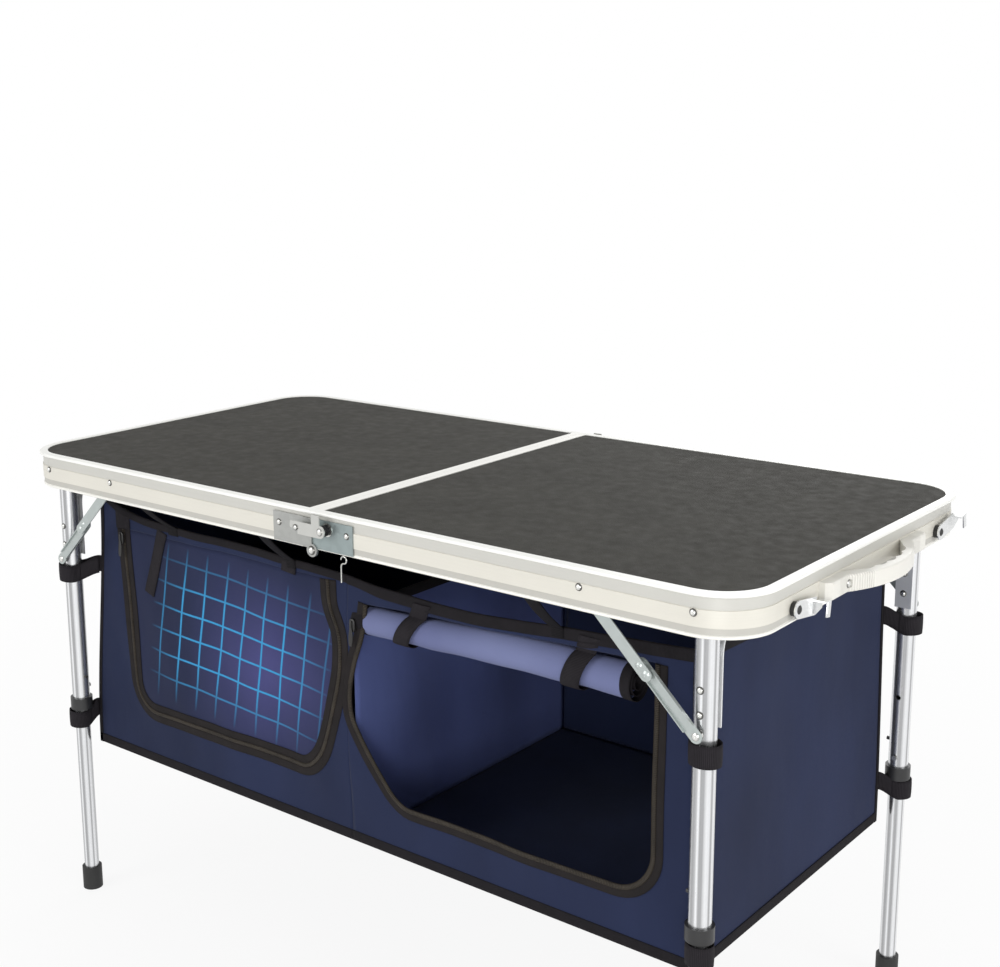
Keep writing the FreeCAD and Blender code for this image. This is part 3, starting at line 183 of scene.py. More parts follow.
# %% Smooth lines
def soft_step(t):
    """0 before 0, 1 after 1, and 3t² - 2t³ between them."""
    t = np.clip(t, 0, 1)
    return t * t * (3 - 2 * t)


def drawn(marks, at):
    """A fair line through marks (place, value): between two marks it is the cubic
    whose slopes are those of the neighbouring marks."""
    place, value = np.array(marks, float).T
    slope = np.gradient(value, place)
    at = np.clip(at, place[0], place[-1])
    i = np.clip(np.searchsorted(place, at) - 1, 0, len(place) - 2)
    h = place[i + 1] - place[i]
    t = (at - place[i]) / h
    return ((2 * t**3 - 3 * t**2 + 1) * value[i] + (t**3 - 2 * t**2 + t) * h * slope[i]
            + (3 * t**2 - 2 * t**3) * value[i + 1] + (t**3 - t**2) * h * slope[i + 1])


def paced(line, count):
    """The same line with evenly spaced points: the way along it is cut in equal steps."""
    line = np.asarray(line, float)
    step = np.linalg.norm(np.diff(line, axis=0), axis=1)
    way = np.append(0, np.cumsum(step))
    at = np.linspace(0, way[-1], count)
    return np.stack([np.interp(at, way, axis) for axis in line.T], axis=-1)


# %% [markdown]
# # How the cloth hangs
# The organizer hangs by its top edge, so its long walls are not flat. They stand out
# in shallow folds a few millimetres high, fullest half way down, and lie flat at the
# sewn corners and at the floor. One function gives that height for the wall, the
# door, the tapes and the bindings, so that all of them stay on each other.

# %% Folds of the long walls
wall_top_marks = ((-0.53, 0.641), (-0.49, 0.638), (-0.45, 0.624), (-0.40, 0.614),
                  (-0.33, 0.6105), (-0.10, 0.607), (0.0, 0.602), (0.06, 0.5965),
                  (0.14, 0.5930), (0.25, 0.5965), (0.36, 0.604), (0.47, 0.611),
                  (0.52, 0.615))
end_top_z = 0.614
# Each fold's height, length, lean with the height, and starting angle.
folds = ((0.0024, 0.31, 0.25, 0.0), (0.0015, 0.17, -0.35, 1.1),
         (0.0006, 0.083, 0.5, 0.0))


def top_edge(x):
    """Height of a long wall's upper edge: a fair line through its marks."""
    return drawn(wall_top_marks, x)


def end_top(side, y):
    """Height of an end wall's upper edge: 608 mm half way across, with a rise to the
    corners, which on the left are drawn up to the rail."""
    rise, power = (0.030, 8) if side < 0 else (0.006, 2)
    return 0.608 + rise * np.abs(np.asarray(y) / half_deep) ** power


def left_edge(z):
    """The left corner seam: it slants out by 34 mm from the top to the floor."""
    return -0.526 + 0.034 * soft_step((z - floor_z) / (end_top_z - floor_z + 0.03))


def right_edge(z):
    """The right corner seam: it is drawn in by 6 mm at the top."""
    return 0.520 - 0.006 * soft_step((z - floor_z) / (end_top_z - floor_z))


def stands_out(x, z):
    """Height of the cloth's folds: three leaning sine waves plus a belly, all calmed
    to nothing at the corners and the floor."""
    rise = np.clip((z - floor_z) / 0.37, 0, 1)
    calm = soft_step((half_long - np.abs(x)) / 0.07) * soft_step((z - floor_z) / 0.11)
    waves = sum(high * np.sin(2 * np.pi * (x + lean * z) / long + start)
                for high, long, lean, start in folds)
    return calm * (0.003 * np.sin(np.pi * rise) + waves * (1 - 0.3 * rise))


def on_front(x, z, lift=0.0):
    """Points on the front wall: x and z are drawn, and the folds give the depth."""
    return points(x, -(half_deep + lift + stands_out(x, z)), z)


def on_rear(x, z):
    """Points on the rear wall: the front one turned round, so its folds differ."""
    return points(x, half_deep + stands_out(-x, z), z)


sides = (("left", -1, left_edge), ("right", 1, right_edge))
print("front edge at the middle", float(top_edge(0.0)))

# %% [markdown]
# # Finishes
# Every finish is a small network of nodes. Metal and plastic read Object coordinates,
# which are real metres on the piece. Cloth and webbing read the flat measure kept on
# each sheet, so their threads run along the cut cloth. Each helper finds the network
# it works in by the value it is given.

# %% Tools for finishes
def shade(red, green, blue):
    """A colour read off a picture, 0 to 255, as the linear numbers a shader needs."""
    c = np.array([red, green, blue]) / 255
    return tuple(np.where(c <= 0.04045, c / 12.92, ((c + 0.055) / 1.055) ** 2.4).tolist())


def darker(tone, share):
    """A tone less a share of its light."""
    return tuple(np.array(shade(*tone)) * (1 - share))


def new_finish(name, tone, roughness, metallic=0.0, sockets=()):
    """A material with one Principled shader and its plain values typed in."""
    material = bpy.data.materials.new(name)
    material.use_nodes = True
    shader = material.node_tree.nodes["Principled BSDF"]
    plain = {"Base Color": (*shade(*tone), 1), "Roughness": roughness,
             "Metallic": metallic, **dict(sockets)}
    for socket, value in plain.items():
        shader.inputs[socket].default_value = value
    return material


def add(tree, kind, inputs=(), **settings):
    """Adds a node. An input that is another node's output is linked, others are typed."""
    node = tree.nodes.new("ShaderNode" + kind)
    for key, value in settings.items():
        setattr(node, key, value)
    for socket, value in dict(inputs).items():
        if isinstance(value, bpy.types.NodeSocket):
            tree.links.new(value, node.inputs[socket])
        else:
            node.inputs[socket].default_value = value
    return node


def steer(socket, value):
    """Links a node's output to a socket of its material's Principled shader."""
    tree = value.id_data
    tree.links.new(value, tree.nodes["Principled BSDF"].inputs[socket])


def base_of(material):
    """The value that feeds the base colour so far."""
    shader = material.node_tree.nodes["Principled BSDF"]
    return shader.inputs["Base Color"].links[0].from_socket


# %% Places, sums and mixes inside a finish
def placed(material, scale=(1, 1, 1), flat=False):
    """Object coordinates, or the cloth's flat measure, stretched by a scale."""
    tree = material.node_tree
    if flat:
        source = add(tree, "UVMap", uv_map="cloth").outputs["UV"]
    else:
        source = add(tree, "TexCoord").outputs["Object"]
    return add(tree, "Mapping", {"Vector": source, "Scale": scale}).outputs["Vector"]


def part_of(vector, axis):
    """One of the three numbers of a place or a direction."""
    return add(vector.id_data, "SeparateXYZ", {"Vector": vector}).outputs[axis]


def noise(vector, scale, detail=3.0, roughness=0.5):
    """Cloudy noise, 0 to 1."""
    return add(vector.id_data, "TexNoise",
               {"Vector": vector, "Scale": scale, "Detail": detail,
                "Roughness": roughness}).outputs["Fac"]


def worked(operation, first, second=0.0):
    """One step of arithmetic on a node's value."""
    return add(first.id_data, "Math", {0: first, 1: second},
               operation=operation).outputs[0]


def times(first, second):
    """The product of a node's value and another value."""
    return worked("MULTIPLY", first, second)


def plus(first, second):
    """The sum of a node's value and another value."""
    return worked("ADD", first, second)


def wave(value, pitch):
    """A sine wave over a length, with one wave in each pitch."""
    return worked("SINE", times(value, 2 * math.pi / pitch))


def spread(value, low, high, to_low=0.0, to_high=1.0):
    """Maps low..high to to_low..to_high and clips what lies beyond."""
    return add(value.id_data, "MapRange",
               {"Value": value, "From Min": low, "From Max": high,
                "To Min": to_low, "To Max": to_high}).outputs[0]


def blended(factor, first, second):
    """A colour between two, by a factor."""
    def full(c):
        return c if isinstance(c, bpy.types.NodeSocket) else (*c, 1)
    return add(factor.id_data, "Mix", {0: factor, 6: full(first), 7: full(second)},
               data_type="RGBA").outputs[2]


def coat(colour, height, distance, roughness=None, strength=1.0):
    """Gives a finish its colour, a bump from a height, with the distance in metres,
    and, where there is one, its pattern of roughness."""
    steer("Base Color", colour)
    if roughness:
        steer("Roughness", roughness)
    bump = add(height.id_data, "Bump", {"Height": height, "Distance": distance,
                                        "Strength": strength})
    steer("Normal", bump.outputs["Normal"])


# %% [markdown]
# ## Aluminium rail
# The rail is one extruded section: a bead, a recessed band, a broad cream band, a
# second recessed band and a thin bead below. It is satin anodised, and the die leaves
# fine lines along the bar. A colour ramp over the height paints the bands with light
# and shade: a painted highlight on both beads and painted shade, grey, on the two
# recessed bands.

# %% Rail finish
# Where each band starts, as a share of the rail's height, and its tone with painted
# light: highlight on the beads, shade on the grey bands.
bands = ((0.0, (238, 237, 231)), (0.085, (186, 184, 177)), (0.235, (216, 213, 203)),
         (0.625, (196, 195, 189)), (0.905, (242, 242, 238)))
rail_finish = new_finish("anodised rail", (224, 221, 212), 0.42, 0.15)
place = placed(rail_finish)
ramp = add(rail_finish.node_tree, "ValToRGB",
           {"Fac": spread(part_of(place, "Z"), rail_low, rail_high)})
ramp.color_ramp.interpolation = "CONSTANT"
stops = ramp.color_ramp.elements
while len(stops) < len(bands):
    stops.new(0.5)
for stop, (start, tone) in zip(stops, bands):
    stop.position, stop.color = start, (*shade(*tone), 1)
die_lines = noise(placed(rail_finish, (2.5, 2.5, 900)), 1.0, 2)
patches = noise(place, 9.0, 4)
dull = times(spread(patches, 0.3, 0.7, 0.93, 1.0),
             spread(die_lines, 0.35, 0.65, 0.965, 1.0))
coat(blended(dull, shade(150, 147, 140), ramp.outputs["Color"]), die_lines, 0.00008,
     spread(patches, 0.3, 0.7, 0.36, 0.5))
print("rail bands start at", [round(rail_low + start * (rail_high - rail_low), 4)
                              for start, tone in bands])

# %% [markdown]
# ## Dark table board
# The board has a pressed plastic skin like fine leather: small rounded cells with
# thin creases, a little uneven in tone. A cell pattern makes the creases, and noise
# keeps it from looking ruled.

# %% Board finish
board_finish = new_finish("leather grain board", (66, 65, 61), 0.75,
                          sockets={"Specular IOR Level": 0.12})
place = placed(board_finish)
cells = add(board_finish.node_tree, "TexVoronoi",
            {"Vector": place, "Scale": 620.0, "Randomness": 1.0})
grain = plus(cells.outputs["Distance"], times(noise(place, 900.0, 2), 0.35))
mix = plus(spread(noise(place, 14.0, 5, 0.6), 0.3, 0.7, 0.0, 0.4),
           spread(grain, 0.2, 1.0, 0.0, 0.5))
coat(blended(mix, shade(49, 48, 45), shade(67, 66, 62)), grain, 0.00025,
     spread(noise(place, 60.0, 2), 0.3, 0.7, 0.68, 0.82), 0.5)


# %% [markdown]
# ## Bare and plated metal
# The parts differ in how they were made: drawn tubes with lines along them, zinc
# plated sheet with a faint crystal pattern, bright screws, and grey painted links.
# One function makes them from a tone, a roughness and the size of their pattern.

# %% Metal finishes
def metal(name, tone, roughness, size=1.0, contrast=0.12, metallic=0.9,
          stretch=(1, 1, 1), cells=False, lift=0.00005, painted_reflections=0.0):
    """Metal with a stretched pattern: noise or crystal cells change the tone by the
    contrast and the roughness by 15 %. Painted reflections run down a drawn tube as
    dark upright bands: noise over the direction its surface faces, so each keeps its
    place around it."""
    material = new_finish(name, tone, roughness, metallic)
    tree = material.node_tree
    vector = placed(material, stretch)
    if cells:
        crystals = add(tree, "TexVoronoi", {"Vector": vector, "Scale": size})
        pattern = add(tree, "SeparateColor",
                      {"Color": crystals.outputs["Color"]}).outputs[0]
    else:
        pattern = noise(vector, size, 4)
    both = plus(times(pattern, 0.6), times(noise(placed(material), 35.0), 0.4))
    base = blended(spread(both, 0.3, 0.7), darker(tone, contrast * 2), shade(*tone))
    # Painted reflections: the tone is darkened in upright bands by the direction the
    # surface faces.
    if painted_reflections:
        around = add(tree, "TexCoord").outputs["Normal"]
        level = add(tree, "Mapping", {"Vector": around, "Scale": (1, 1, 0)})
        reflection_noise = noise(level.outputs["Vector"], 1.9, 1)
        base = blended(spread(reflection_noise, 0.38, 0.6), darker(tone, painted_reflections), base)
    coat(base, pattern, lift,
         spread(both, 0.3, 0.7, roughness * 0.85, roughness * 1.15))
    return material


tube_finish = metal("drawn aluminium tube", (246, 247, 249), 0.25, 1.0, 0.04, 0.9,
                    (260, 260, 1.5), painted_reflections=0.55)
bar_finish = metal("satin seam bar", (240, 239, 234), 0.34, 1.0, 0.03, 0.5, (600, 3, 3))
arch_finish = metal("bright arch strip", (240, 241, 241), 0.3, 60.0, 0.02, 0.7)
zinc_finish = metal("zinc plated sheet", (148, 159, 159), 0.45, 140.0, 0.035, 0.7,
                    cells=True)
leaf_finish = metal("warm zinc sheet", (168, 169, 166), 0.42, 160.0, 0.03, 0.7,
                    cells=True)
hook_finish = metal("bright zinc hook", (196, 196, 192), 0.33, 60.0, 0.02, 0.7,
                    lift=0.00001)
screw_finish = metal("bright screw", (226, 226, 222), 0.24, 220.0, 0.05)
link_finish = metal("grey link", (180, 187, 185), 0.33, 90.0, 0.04, 0.55)
latch_finish = metal("nickel latch", (226, 227, 227), 0.25, 1.0, 0.03, 0.8, (4, 4, 300))
spring_finish = metal("oiled spring", (44, 44, 46), 0.3, 400.0, 0.2, 0.8)
wire_finish = metal("hook wire", (212, 212, 208), 0.25, 300.0, 0.1)

# %% Painted shade on the rim of the screw heads
# A head looks straight along x or y, and its rounded rim does not. The rim is painted
# darker, as shade.
normal = add(screw_finish.node_tree, "TexCoord").outputs["Normal"]
straight = worked("MAXIMUM", worked("ABSOLUTE", part_of(normal, "X")),
                  worked("ABSOLUTE", part_of(normal, "Y")))
steer("Base Color", blended(spread(straight, 0.78, 0.93), shade(92, 91, 88),
                            base_of(screw_finish)))


# %% [markdown]
# ## Moulded plastic and rubber
# The handle is glossy white plastic with short grip ribs beside its two rivets. The
# collars, plugs, feet and bushes are black, with the faint orange-peel of a mould.

# %% Plastic and rubber finishes
def moulded(name, tone, roughness, size, lift):
    """Moulded plastic: fine peel from noise and a slight drift of its tone."""
    material = new_finish(name, tone, roughness)
    place = placed(material)
    cloud = noise(place, 30.0)
    coat(blended(spread(cloud, 0.3, 0.7), darker(tone, 0.12), shade(*tone)),
         noise(place, size), lift,
         spread(cloud, 0.3, 0.7, roughness * 0.85, roughness * 1.1))
    return material


collar_finish = moulded("black collar plastic", (40, 40, 41), 0.42, 700.0, 0.0001)
foot_finish = moulded("foot rubber", (34, 34, 34), 0.65, 500.0, 0.0002)
bush_finish = moulded("rubber bush", (30, 30, 30), 0.55, 600.0, 0.0001)
slider_finish = moulded("black zip slider", (30, 29, 28), 0.35, 900.0, 0.00005)

# %% White handle with its grip ribs
handle_finish = new_finish("white handle plastic", (226, 224, 217), 0.38,
                           sockets={"Coat Weight": 0.1})
place = placed(handle_finish)
sideways = part_of(place, "Y")
from_middle = worked("ABSOLUTE", sideways)
near_rivet = times(spread(from_middle, 0.052, 0.056),
                   spread(from_middle, 0.112, 0.108))
grip = plus(times(wave(sideways, 0.0032), near_rivet),
            times(noise(place, 500.0, 2), 0.2))
# The grip ribs are coloured by their height: painted shade in the grooves between them,
# and a tone that drifts with noise elsewhere.
coat(blended(spread(grip, -1.0, 0.4), shade(203, 201, 193), shade(225, 223, 216)),
     grip, 0.0003)

# %% [markdown]
# ## Cloth, webbing and zip
# The organizer is navy polyester, woven with threads about a millimetre apart and a
# little creased. Its bindings, loops and ties are brown-black webbing with ribs
# across the tape. The zip has a row of teeth every 2 mm.

# %% Woven cloth
thread = 0.0011


def woven(name, tone, light_tone):
    """Plain weave: two sine waves at right angles, one thread apart, multiplied, on
    top of slow creases from noise; the tone drifts between two shades, with fine random
    flecks and upright patches that are a painted shading of soft folds."""
    material = new_finish(name, tone, 0.82,
                          sockets={"Sheen Weight": 0.04, "Sheen Roughness": 0.5,
                                   "Specular IOR Level": 0.1})
    flat = placed(material, flat=True)
    weave = times(wave(part_of(flat, "X"), thread), wave(part_of(flat, "Y"), thread))
    creases = noise(placed(material, (1, 1, 0.45)), 22.0, 4, 0.55)
    cloud = noise(placed(material, (1, 1, 0.5)), 7.0)
    fleck = noise(placed(material, (900, 900, 1), flat=True), 1.0, 1)
    drift = plus(spread(cloud, 0.3, 0.7, 0.0, 0.7), spread(fleck, 0.2, 0.8, 0.0, 0.3))
    coat(blended(drift, shade(*tone), shade(*light_tone)),
         plus(times(weave, 0.06), creases), 0.0014)
    return material


navy_finish = woven("navy polyester", (30, 36, 58), (39, 47, 76))
# The divider is the navy cloth painted much paler: painted light, where the lamps shine
# on it through the doorway.
painted_lit_divider = woven("navy divider painted lit", (74, 84, 134), (92, 104, 158))
roll_finish = woven("lilac backed cloth", (98, 104, 142), (117, 124, 161))


# %% Webbing, binding tape and zip
def ribbed(name, tone, light_tone, pitch, axis="X", lift=0.0003, roughness=0.8):
    """Ribbed tape: a sine wave across or along the tape, and a drift of the tone from
    noise. The colour follows the height, so the ribs get a painted highlight on their
    crests and painted shade in their grooves.
    """
    material = new_finish(name, tone, roughness, sockets={"Specular IOR Level": 0.15})
    ribs = wave(part_of(placed(material, flat=True), axis), pitch)
    height = plus(times(ribs, 0.5), noise(placed(material), 45.0, 4))
    coat(blended(spread(height, -0.1, 1.0), shade(*tone), shade(*light_tone)),
         height, lift)
    return material


tape_finish = ribbed("black binding", (19, 18, 20), (32, 29, 33), 0.0016)
webbing_finish = ribbed("black webbing", (24, 22, 25), (41, 38, 42), 0.0019)
zip_finish = ribbed("zip tape", (24, 22, 23), (41, 37, 37), 0.0014, "Y")
# The hanging loops are a darker copy of the black webbing: painted shade for where they
# hang under the rail.
shaded_loop_finish = ribbed("loop strap in painted shade", (14, 13, 15), (26, 24, 27), 0.0019)
# The light tone of the zip teeth is a painted highlight on the crest of each tooth.
teeth_finish = ribbed("zip teeth", (16, 15, 15), (74, 67, 58), 0.0021, lift=0.0009,
                      roughness=0.45)

# %% Printed door cloth
# The left door has a faint square grid printed in light blue that fades out at its
# border. The squares follow a second flat measure in squares, kept on the door sheet.
printed_finish = woven("printed navy polyester", (33, 38, 60), (43, 49, 78))
squares = add(printed_finish.node_tree, "UVMap", uv_map="print").outputs["UV"]
column, row = part_of(squares, "X"), part_of(squares, "Y")
half_line = 0.034


def printed_lines(value, first, last):
    """Lines at whole numbers from first to last: the distance to the nearest whole
    number, against half the line's width."""
    away = worked("ABSOLUTE", worked("SUBTRACT", value, worked("ROUND", value)))
    inside = times(spread(value, first - 0.4, first - 0.2),
                   spread(value, last + 0.4, last + 0.2))
    return times(spread(away, half_line * 1.6, half_line * 0.7), inside)


def fading(value, start, full, end, gone):
    """Rises from start to full and falls again from end to gone."""
    return times(spread(value, start, full), spread(value, gone, end))


upright = times(printed_lines(column, 0, 8), fading(row, 0.3, 2.2, 5.0, 7.0))
level = times(printed_lines(row, 1, 6), fading(column, -0.6, 1.4, 5.8, 8.4))
ink = worked("MAXIMUM", times(upright, fading(column, -1.2, 1.0, 6.2, 8.8)),
             times(level, fading(row, 0.4, 2.4, 5.2, 7.0)))
# The grid's middle is also painted paler: a painted glow round the print.
glow = times(fading(column, 1.5, 5.0, 5.4, 9.5), fading(row, 0.0, 3.6, 4.4, 8.0))
base = blended(times(glow, 0.75), base_of(printed_finish), shade(76, 76, 128))
steer("Base Color", blended(ink, base, shade(58, 146, 198)))
print(len(bpy.data.materials), "finishes")

# %% [markdown]
# # Dress the CAD parts
# The metal and plastic pieces of the model have the right shape. Only the material in
# each of their slots is exchanged, by the part's name.

# %% Finishes of the hard parts
# The parts that both leaves have, then those of one kind only, by their finish.
side_parts = (
    (rail_finish, "rail"), (board_finish, "panel"), (bar_finish, "seam_bar"),
    (zinc_finish, "hinge_leaves leg_hangers brace_brackets"),
    (screw_finish, "screws_and_rivets leg_rivets front_snap_clip rear_snap_clip"),
    (tube_finish, "upper_tubes front_lower_tube rear_lower_tube"),
    (arch_finish, "crosspiece"), (collar_finish, "collars"),
    (link_finish, "upper_links lower_links"), (foot_finish, "front_foot rear_foot"))
single_parts = (
    (screw_finish, "lock_posts lock_studs hinge_pins catch_studs"),
    (spring_finish, "lock_springs"), (handle_finish, "handle"),
    (bush_finish, "latch_bushes"), (hook_finish, "lock_hook_front lock_hook_rear"),
    (latch_finish, "latch_hook_near latch_hook_far"), (wire_finish, "hanging_hooks"),
    (leaf_finish, "left_hinge_leaves"))
finishes = {f"{side}_{part}": finish for side in ("right", "left")
            for finish, parts in side_parts for part in parts.split()}
finishes.update({part: finish for finish, parts in single_parts
                 for part in parts.split()})
for node_name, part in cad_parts.items():
    for slot in part.material_slots:
        if node_name in finishes:
            slot.material = finishes[node_name]
print("sewn parts to make", sorted(set(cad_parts) - set(finishes)))


# %% [markdown]
# # How sewn pieces move
# The left half of the organizer hangs on the left leaf and the right half on the
# right leaf. When the leaves fold, real cloth crumples up under the board. Here each
# sheet only rides its leaf.

# %% Sew a piece and hang it on its leaf
hinge_height = 0.645


def hung(name, grids, finish, body, slot="cloth", node="organizer_body", keep=0.035,
         anchor=hinge_height, joint="table_fold", **sewing):
    """The sewn piece rides a body and takes the place of its CAD node; with a joint
    it gets a mesh of its own. The anchor height is not used."""
    piece = sew(name, grids, finish, **sewing)
    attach(piece, body)
    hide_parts(node)
    if joint:
        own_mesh(piece)
    return piece


# %% [markdown]
# # Front walls
# Each wall is cut round an opening: its inner edge is the opening's outline and its
# outer edge is the pocket's frame. The sheet between the two is a ring of points,
# each a straight mix of a point on the one line and its partner on the other. The
# left wall is cut round the door. The right door is rolled up, so that wall is open:
# its border leans on the left and comes back in a bulge where the zip pulls it.

# %% Outlines of the openings
door_low, door_top = 0.320, 0.592
door_left_marks = ((0.318, -0.428), (0.36, -0.4285), (0.43, -0.431), (0.592, -0.440))
door_right_marks = ((0.318, -0.054), (0.335, -0.050), (0.37, -0.036), (0.42, -0.020),
                    (0.484, -0.008), (0.525, -0.011), (0.557, -0.026), (0.592, -0.030))
doorway_low, doorway_right = 0.309, 0.464
doorway_left_marks = ((0.305, 0.088), (0.32, 0.076), (0.355, 0.047), (0.385, 0.027),
                      (0.417, 0.011), (0.450, 0.009), (0.488, 0.017), (0.525, 0.029),
                      (0.572, 0.036))


def drawn_in(above, radius):
    """Quarter circle: at the bottom the edge starts one radius in, and it reaches the
    side line one radius up."""
    rest = np.clip(radius - above, 0, radius)
    return radius - np.sqrt(radius**2 - rest**2)


def door_sides(z):
    """Left and right edge of the door at a height: the drawn lines, rounded below."""
    left = drawn(door_left_marks, z) + drawn_in(z - door_low, 0.045)
    right = drawn(door_right_marks, z) - drawn_in(z - door_low, 0.036)
    return left, right


def doorway_sides(z):
    """Left and right edge of the doorway: the drawn line, and a straight right side
    with a rounded corner."""
    left = drawn(doorway_left_marks, z) + drawn_in(z - doorway_low, 0.02)
    right = doorway_right - drawn_in(z - doorway_low, 0.055)
    return left, right


def outline(edges, low, top_left, top_right, count=40):
    """Closed line round an opening in even steps, side by side: down the left, along
    the bottom, up the right and back along the top. Heights crowd at the bottom."""
    step = np.linspace(0, 1, 120) ** 1.8
    left_z, right_z = low + (top_left - low) * step, low + (top_right - low) * step
    left = np.stack([edges(left_z)[0], left_z], axis=-1)[::-1]
    right = np.stack([edges(right_z)[1], right_z], axis=-1)
    bottom = np.stack([left[-1], right[0]])
    top = np.stack([right[-1], left[0]])
    return [paced(line, count + 1) for line in (left, bottom, right, top)]


def frame_lines(left_x, right_x, count=40):
    """The pocket's frame: down the left, along the floor, up the right, and back along
    the sagging top edge. left_x and right_x give the side lines at a height."""
    def upright_line(side_x):
        top = top_edge(side_x(0.6))
        z = floor_z + (top - floor_z) * np.linspace(0, 1, 60)
        return np.stack([side_x(z), z], axis=-1)
    left, right = upright_line(left_x), upright_line(right_x)
    x = np.linspace(right[-1, 0], left[-1, 0], 90)
    top = np.stack([x, top_edge(x)], axis=-1)
    lines = (left[::-1], np.stack([left[0], right[0]]), right, top)
    return [paced(line, count + 1) for line in lines]


def seam_line(z):
    """The seam between the pockets: straight up."""
    return seam_x + 0 * np.asarray(z)


door_lines = outline(door_sides, door_low, door_top, door_top)
doorway_lines = outline(doorway_sides, doorway_low, 0.571, 0.589)
print("door", door_lines[0][0], "to", door_lines[2][0])

# %% The cut walls
def area_of(lines):
    """Flat area inside a closed line, by the shoelace rule."""
    x, z = np.concatenate([line[:-1] for line in lines]).T
    return abs((x * np.roll(z, -1) - z * np.roll(x, -1)).sum()) / 2


def cut_wall(name, body, opening, pocket, rows=14):
    """Wall between two closed lines: (1 - s) times the inner plus s times the outer.
    Gives the piece and the flat area of its cloth."""
    inner, outer = (np.concatenate([line[:-1] for line in lines])
                    for lines in (opening, pocket))
    s = np.linspace(0, 1, rows)[:, None, None]
    flat_ring = inner[None] * (1 - s) + outer[None] * s
    grid = on_front(flat_ring[..., 0], flat_ring[..., 1])
    turned = facing(grid, front)
    flats = flat_ring if turned is grid else flat_ring[::-1]
    flats = np.concatenate([flats, flats[:, :1]], axis=1)
    piece = hung(name, [turned], navy_finish, body, flats=[flats], closed=True)
    cut = area_of(pocket) - area_of(opening)
    print(name, "takes", round(cut, 4), "square metres of cloth")
    return piece, cut


wall, cut = cut_wall("organizer_front_left", "left_top", door_lines,
                     frame_lines(left_edge, seam_line))
wall, cut = cut_wall("organizer_front_right", "right_top", doorway_lines,
                     frame_lines(seam_line, right_edge))

# %% [markdown]
# # Rear wall, ends, floor and divider
# These are plain cut sheets. The rear wall and the floor are each in two halves, one
# for each leaf. The floor sags a few millimetres between its hems, and the ends are
# drawn in a little between their corners. A table lists them, and one loop sews them.

# %% Rear wall, end walls, floor and divider
floor_lift, divider_gap = 0.0012, 0.003


def rear_sheet(first, last, columns=60, rows=40):
    """Rear wall between two shares of its length: x goes evenly between the corner
    seams, and z goes evenly from the floor to the top edge."""
    s, t = plain_grid(first, last, 0, 1, columns, rows)
    z = floor_z + (end_top_z - floor_z) * t
    x = left_edge(z) * (1 - s) + right_edge(z) * s
    return on_rear(x, floor_z + (top_edge(x) - floor_z) * t)


def end_sheet(sign, edge, columns=44, rows=40):
    """End wall: y goes evenly across, z up to a slightly sagging top, and the wall is
    drawn in by 5 mm half way up and half way across, with two low waves."""
    s, t = plain_grid(-1, 1, 0, 1, columns, rows)
    z = floor_z + (end_top(sign, half_deep * s) - floor_z) * t
    hollow = 0.005 * (1 - s**2) * np.sin(np.pi * t)
    waves = 0.0018 * (1 - s**2) * t * np.sin(9 * s + 2.0 * sign)
    return points(edge(z) - sign * (hollow + waves), half_deep * s, z)


def floor_sheet(x0, x1, columns=50, rows=44):
    """Floor of one pocket: level at its hems, and 5 mm lower in the middle, as a
    product of two half sine waves."""
    x, y = plain_grid(x0, x1, -half_deep, half_deep, columns, rows)
    sag = np.sin(np.pi * (x - x0) / (x1 - x0)) * np.cos(np.pi * y / (2 * half_deep))
    return points(x, y, floor_z + floor_lift - 0.005 * sag)


def divider_sheet(columns=44, rows=40):
    """Wall between the pockets: upright, with a slow wave that is calm at its edges."""
    y, z = plain_grid(-half_deep + divider_gap, half_deep - divider_gap,
                      floor_z + divider_gap, divider_top, columns, rows)
    wave_up = np.sin(np.pi * (z - floor_z) / 0.32)
    lean = 0.004 * wave_up * np.sin(2.3 * np.pi * y / half_deep)
    return points(divider_x + lean * (1 - (y / half_deep) ** 2), y, z)


# Name, side it hangs on, grid, direction it faces, finish and flat size.
plain_sheets = (
    ("rear_left", "left", rear_sheet(0.0, 0.505), rear, navy_finish, (0.52, 0.37)),
    ("rear_right", "right", rear_sheet(0.505, 1.0), rear, navy_finish, (0.52, 0.37)),
    ("left_end", "left", end_sheet(-1, left_edge), (-1, 0, 0), navy_finish,
     (0.48, 0.375)),
    ("right_end", "right", end_sheet(1, right_edge), (1, 0, 0), navy_finish,
     (0.48, 0.375)),
    ("left_floor", "left", floor_sheet(left_edge(floor_z), seam_x), (0, 0, -1),
     navy_finish, (0.52, 0.48)),
    ("right_floor", "right", floor_sheet(seam_x, right_edge(floor_z)), (0, 0, -1),
     navy_finish, (0.52, 0.48)),
    ("divider", "right", divider_sheet(), (1, 0, 0), painted_lit_divider, (0.474, 0.32)),
)
for name, side, grid, outward, finish, flat in plain_sheets:
    sheet = hung(f"organizer_{name}", [facing(grid, outward)], finish, f"{side}_top")

# %% [markdown]
# # Left door
# The door is a sheet of its own, sewn on along its top edge. Each row of the sheet
# runs from the left edge to the right edge at its height, so the rounded corners come
# from the outline by themselves. It carries the printed grid, whose lines lean a
# little with the hanging cloth.

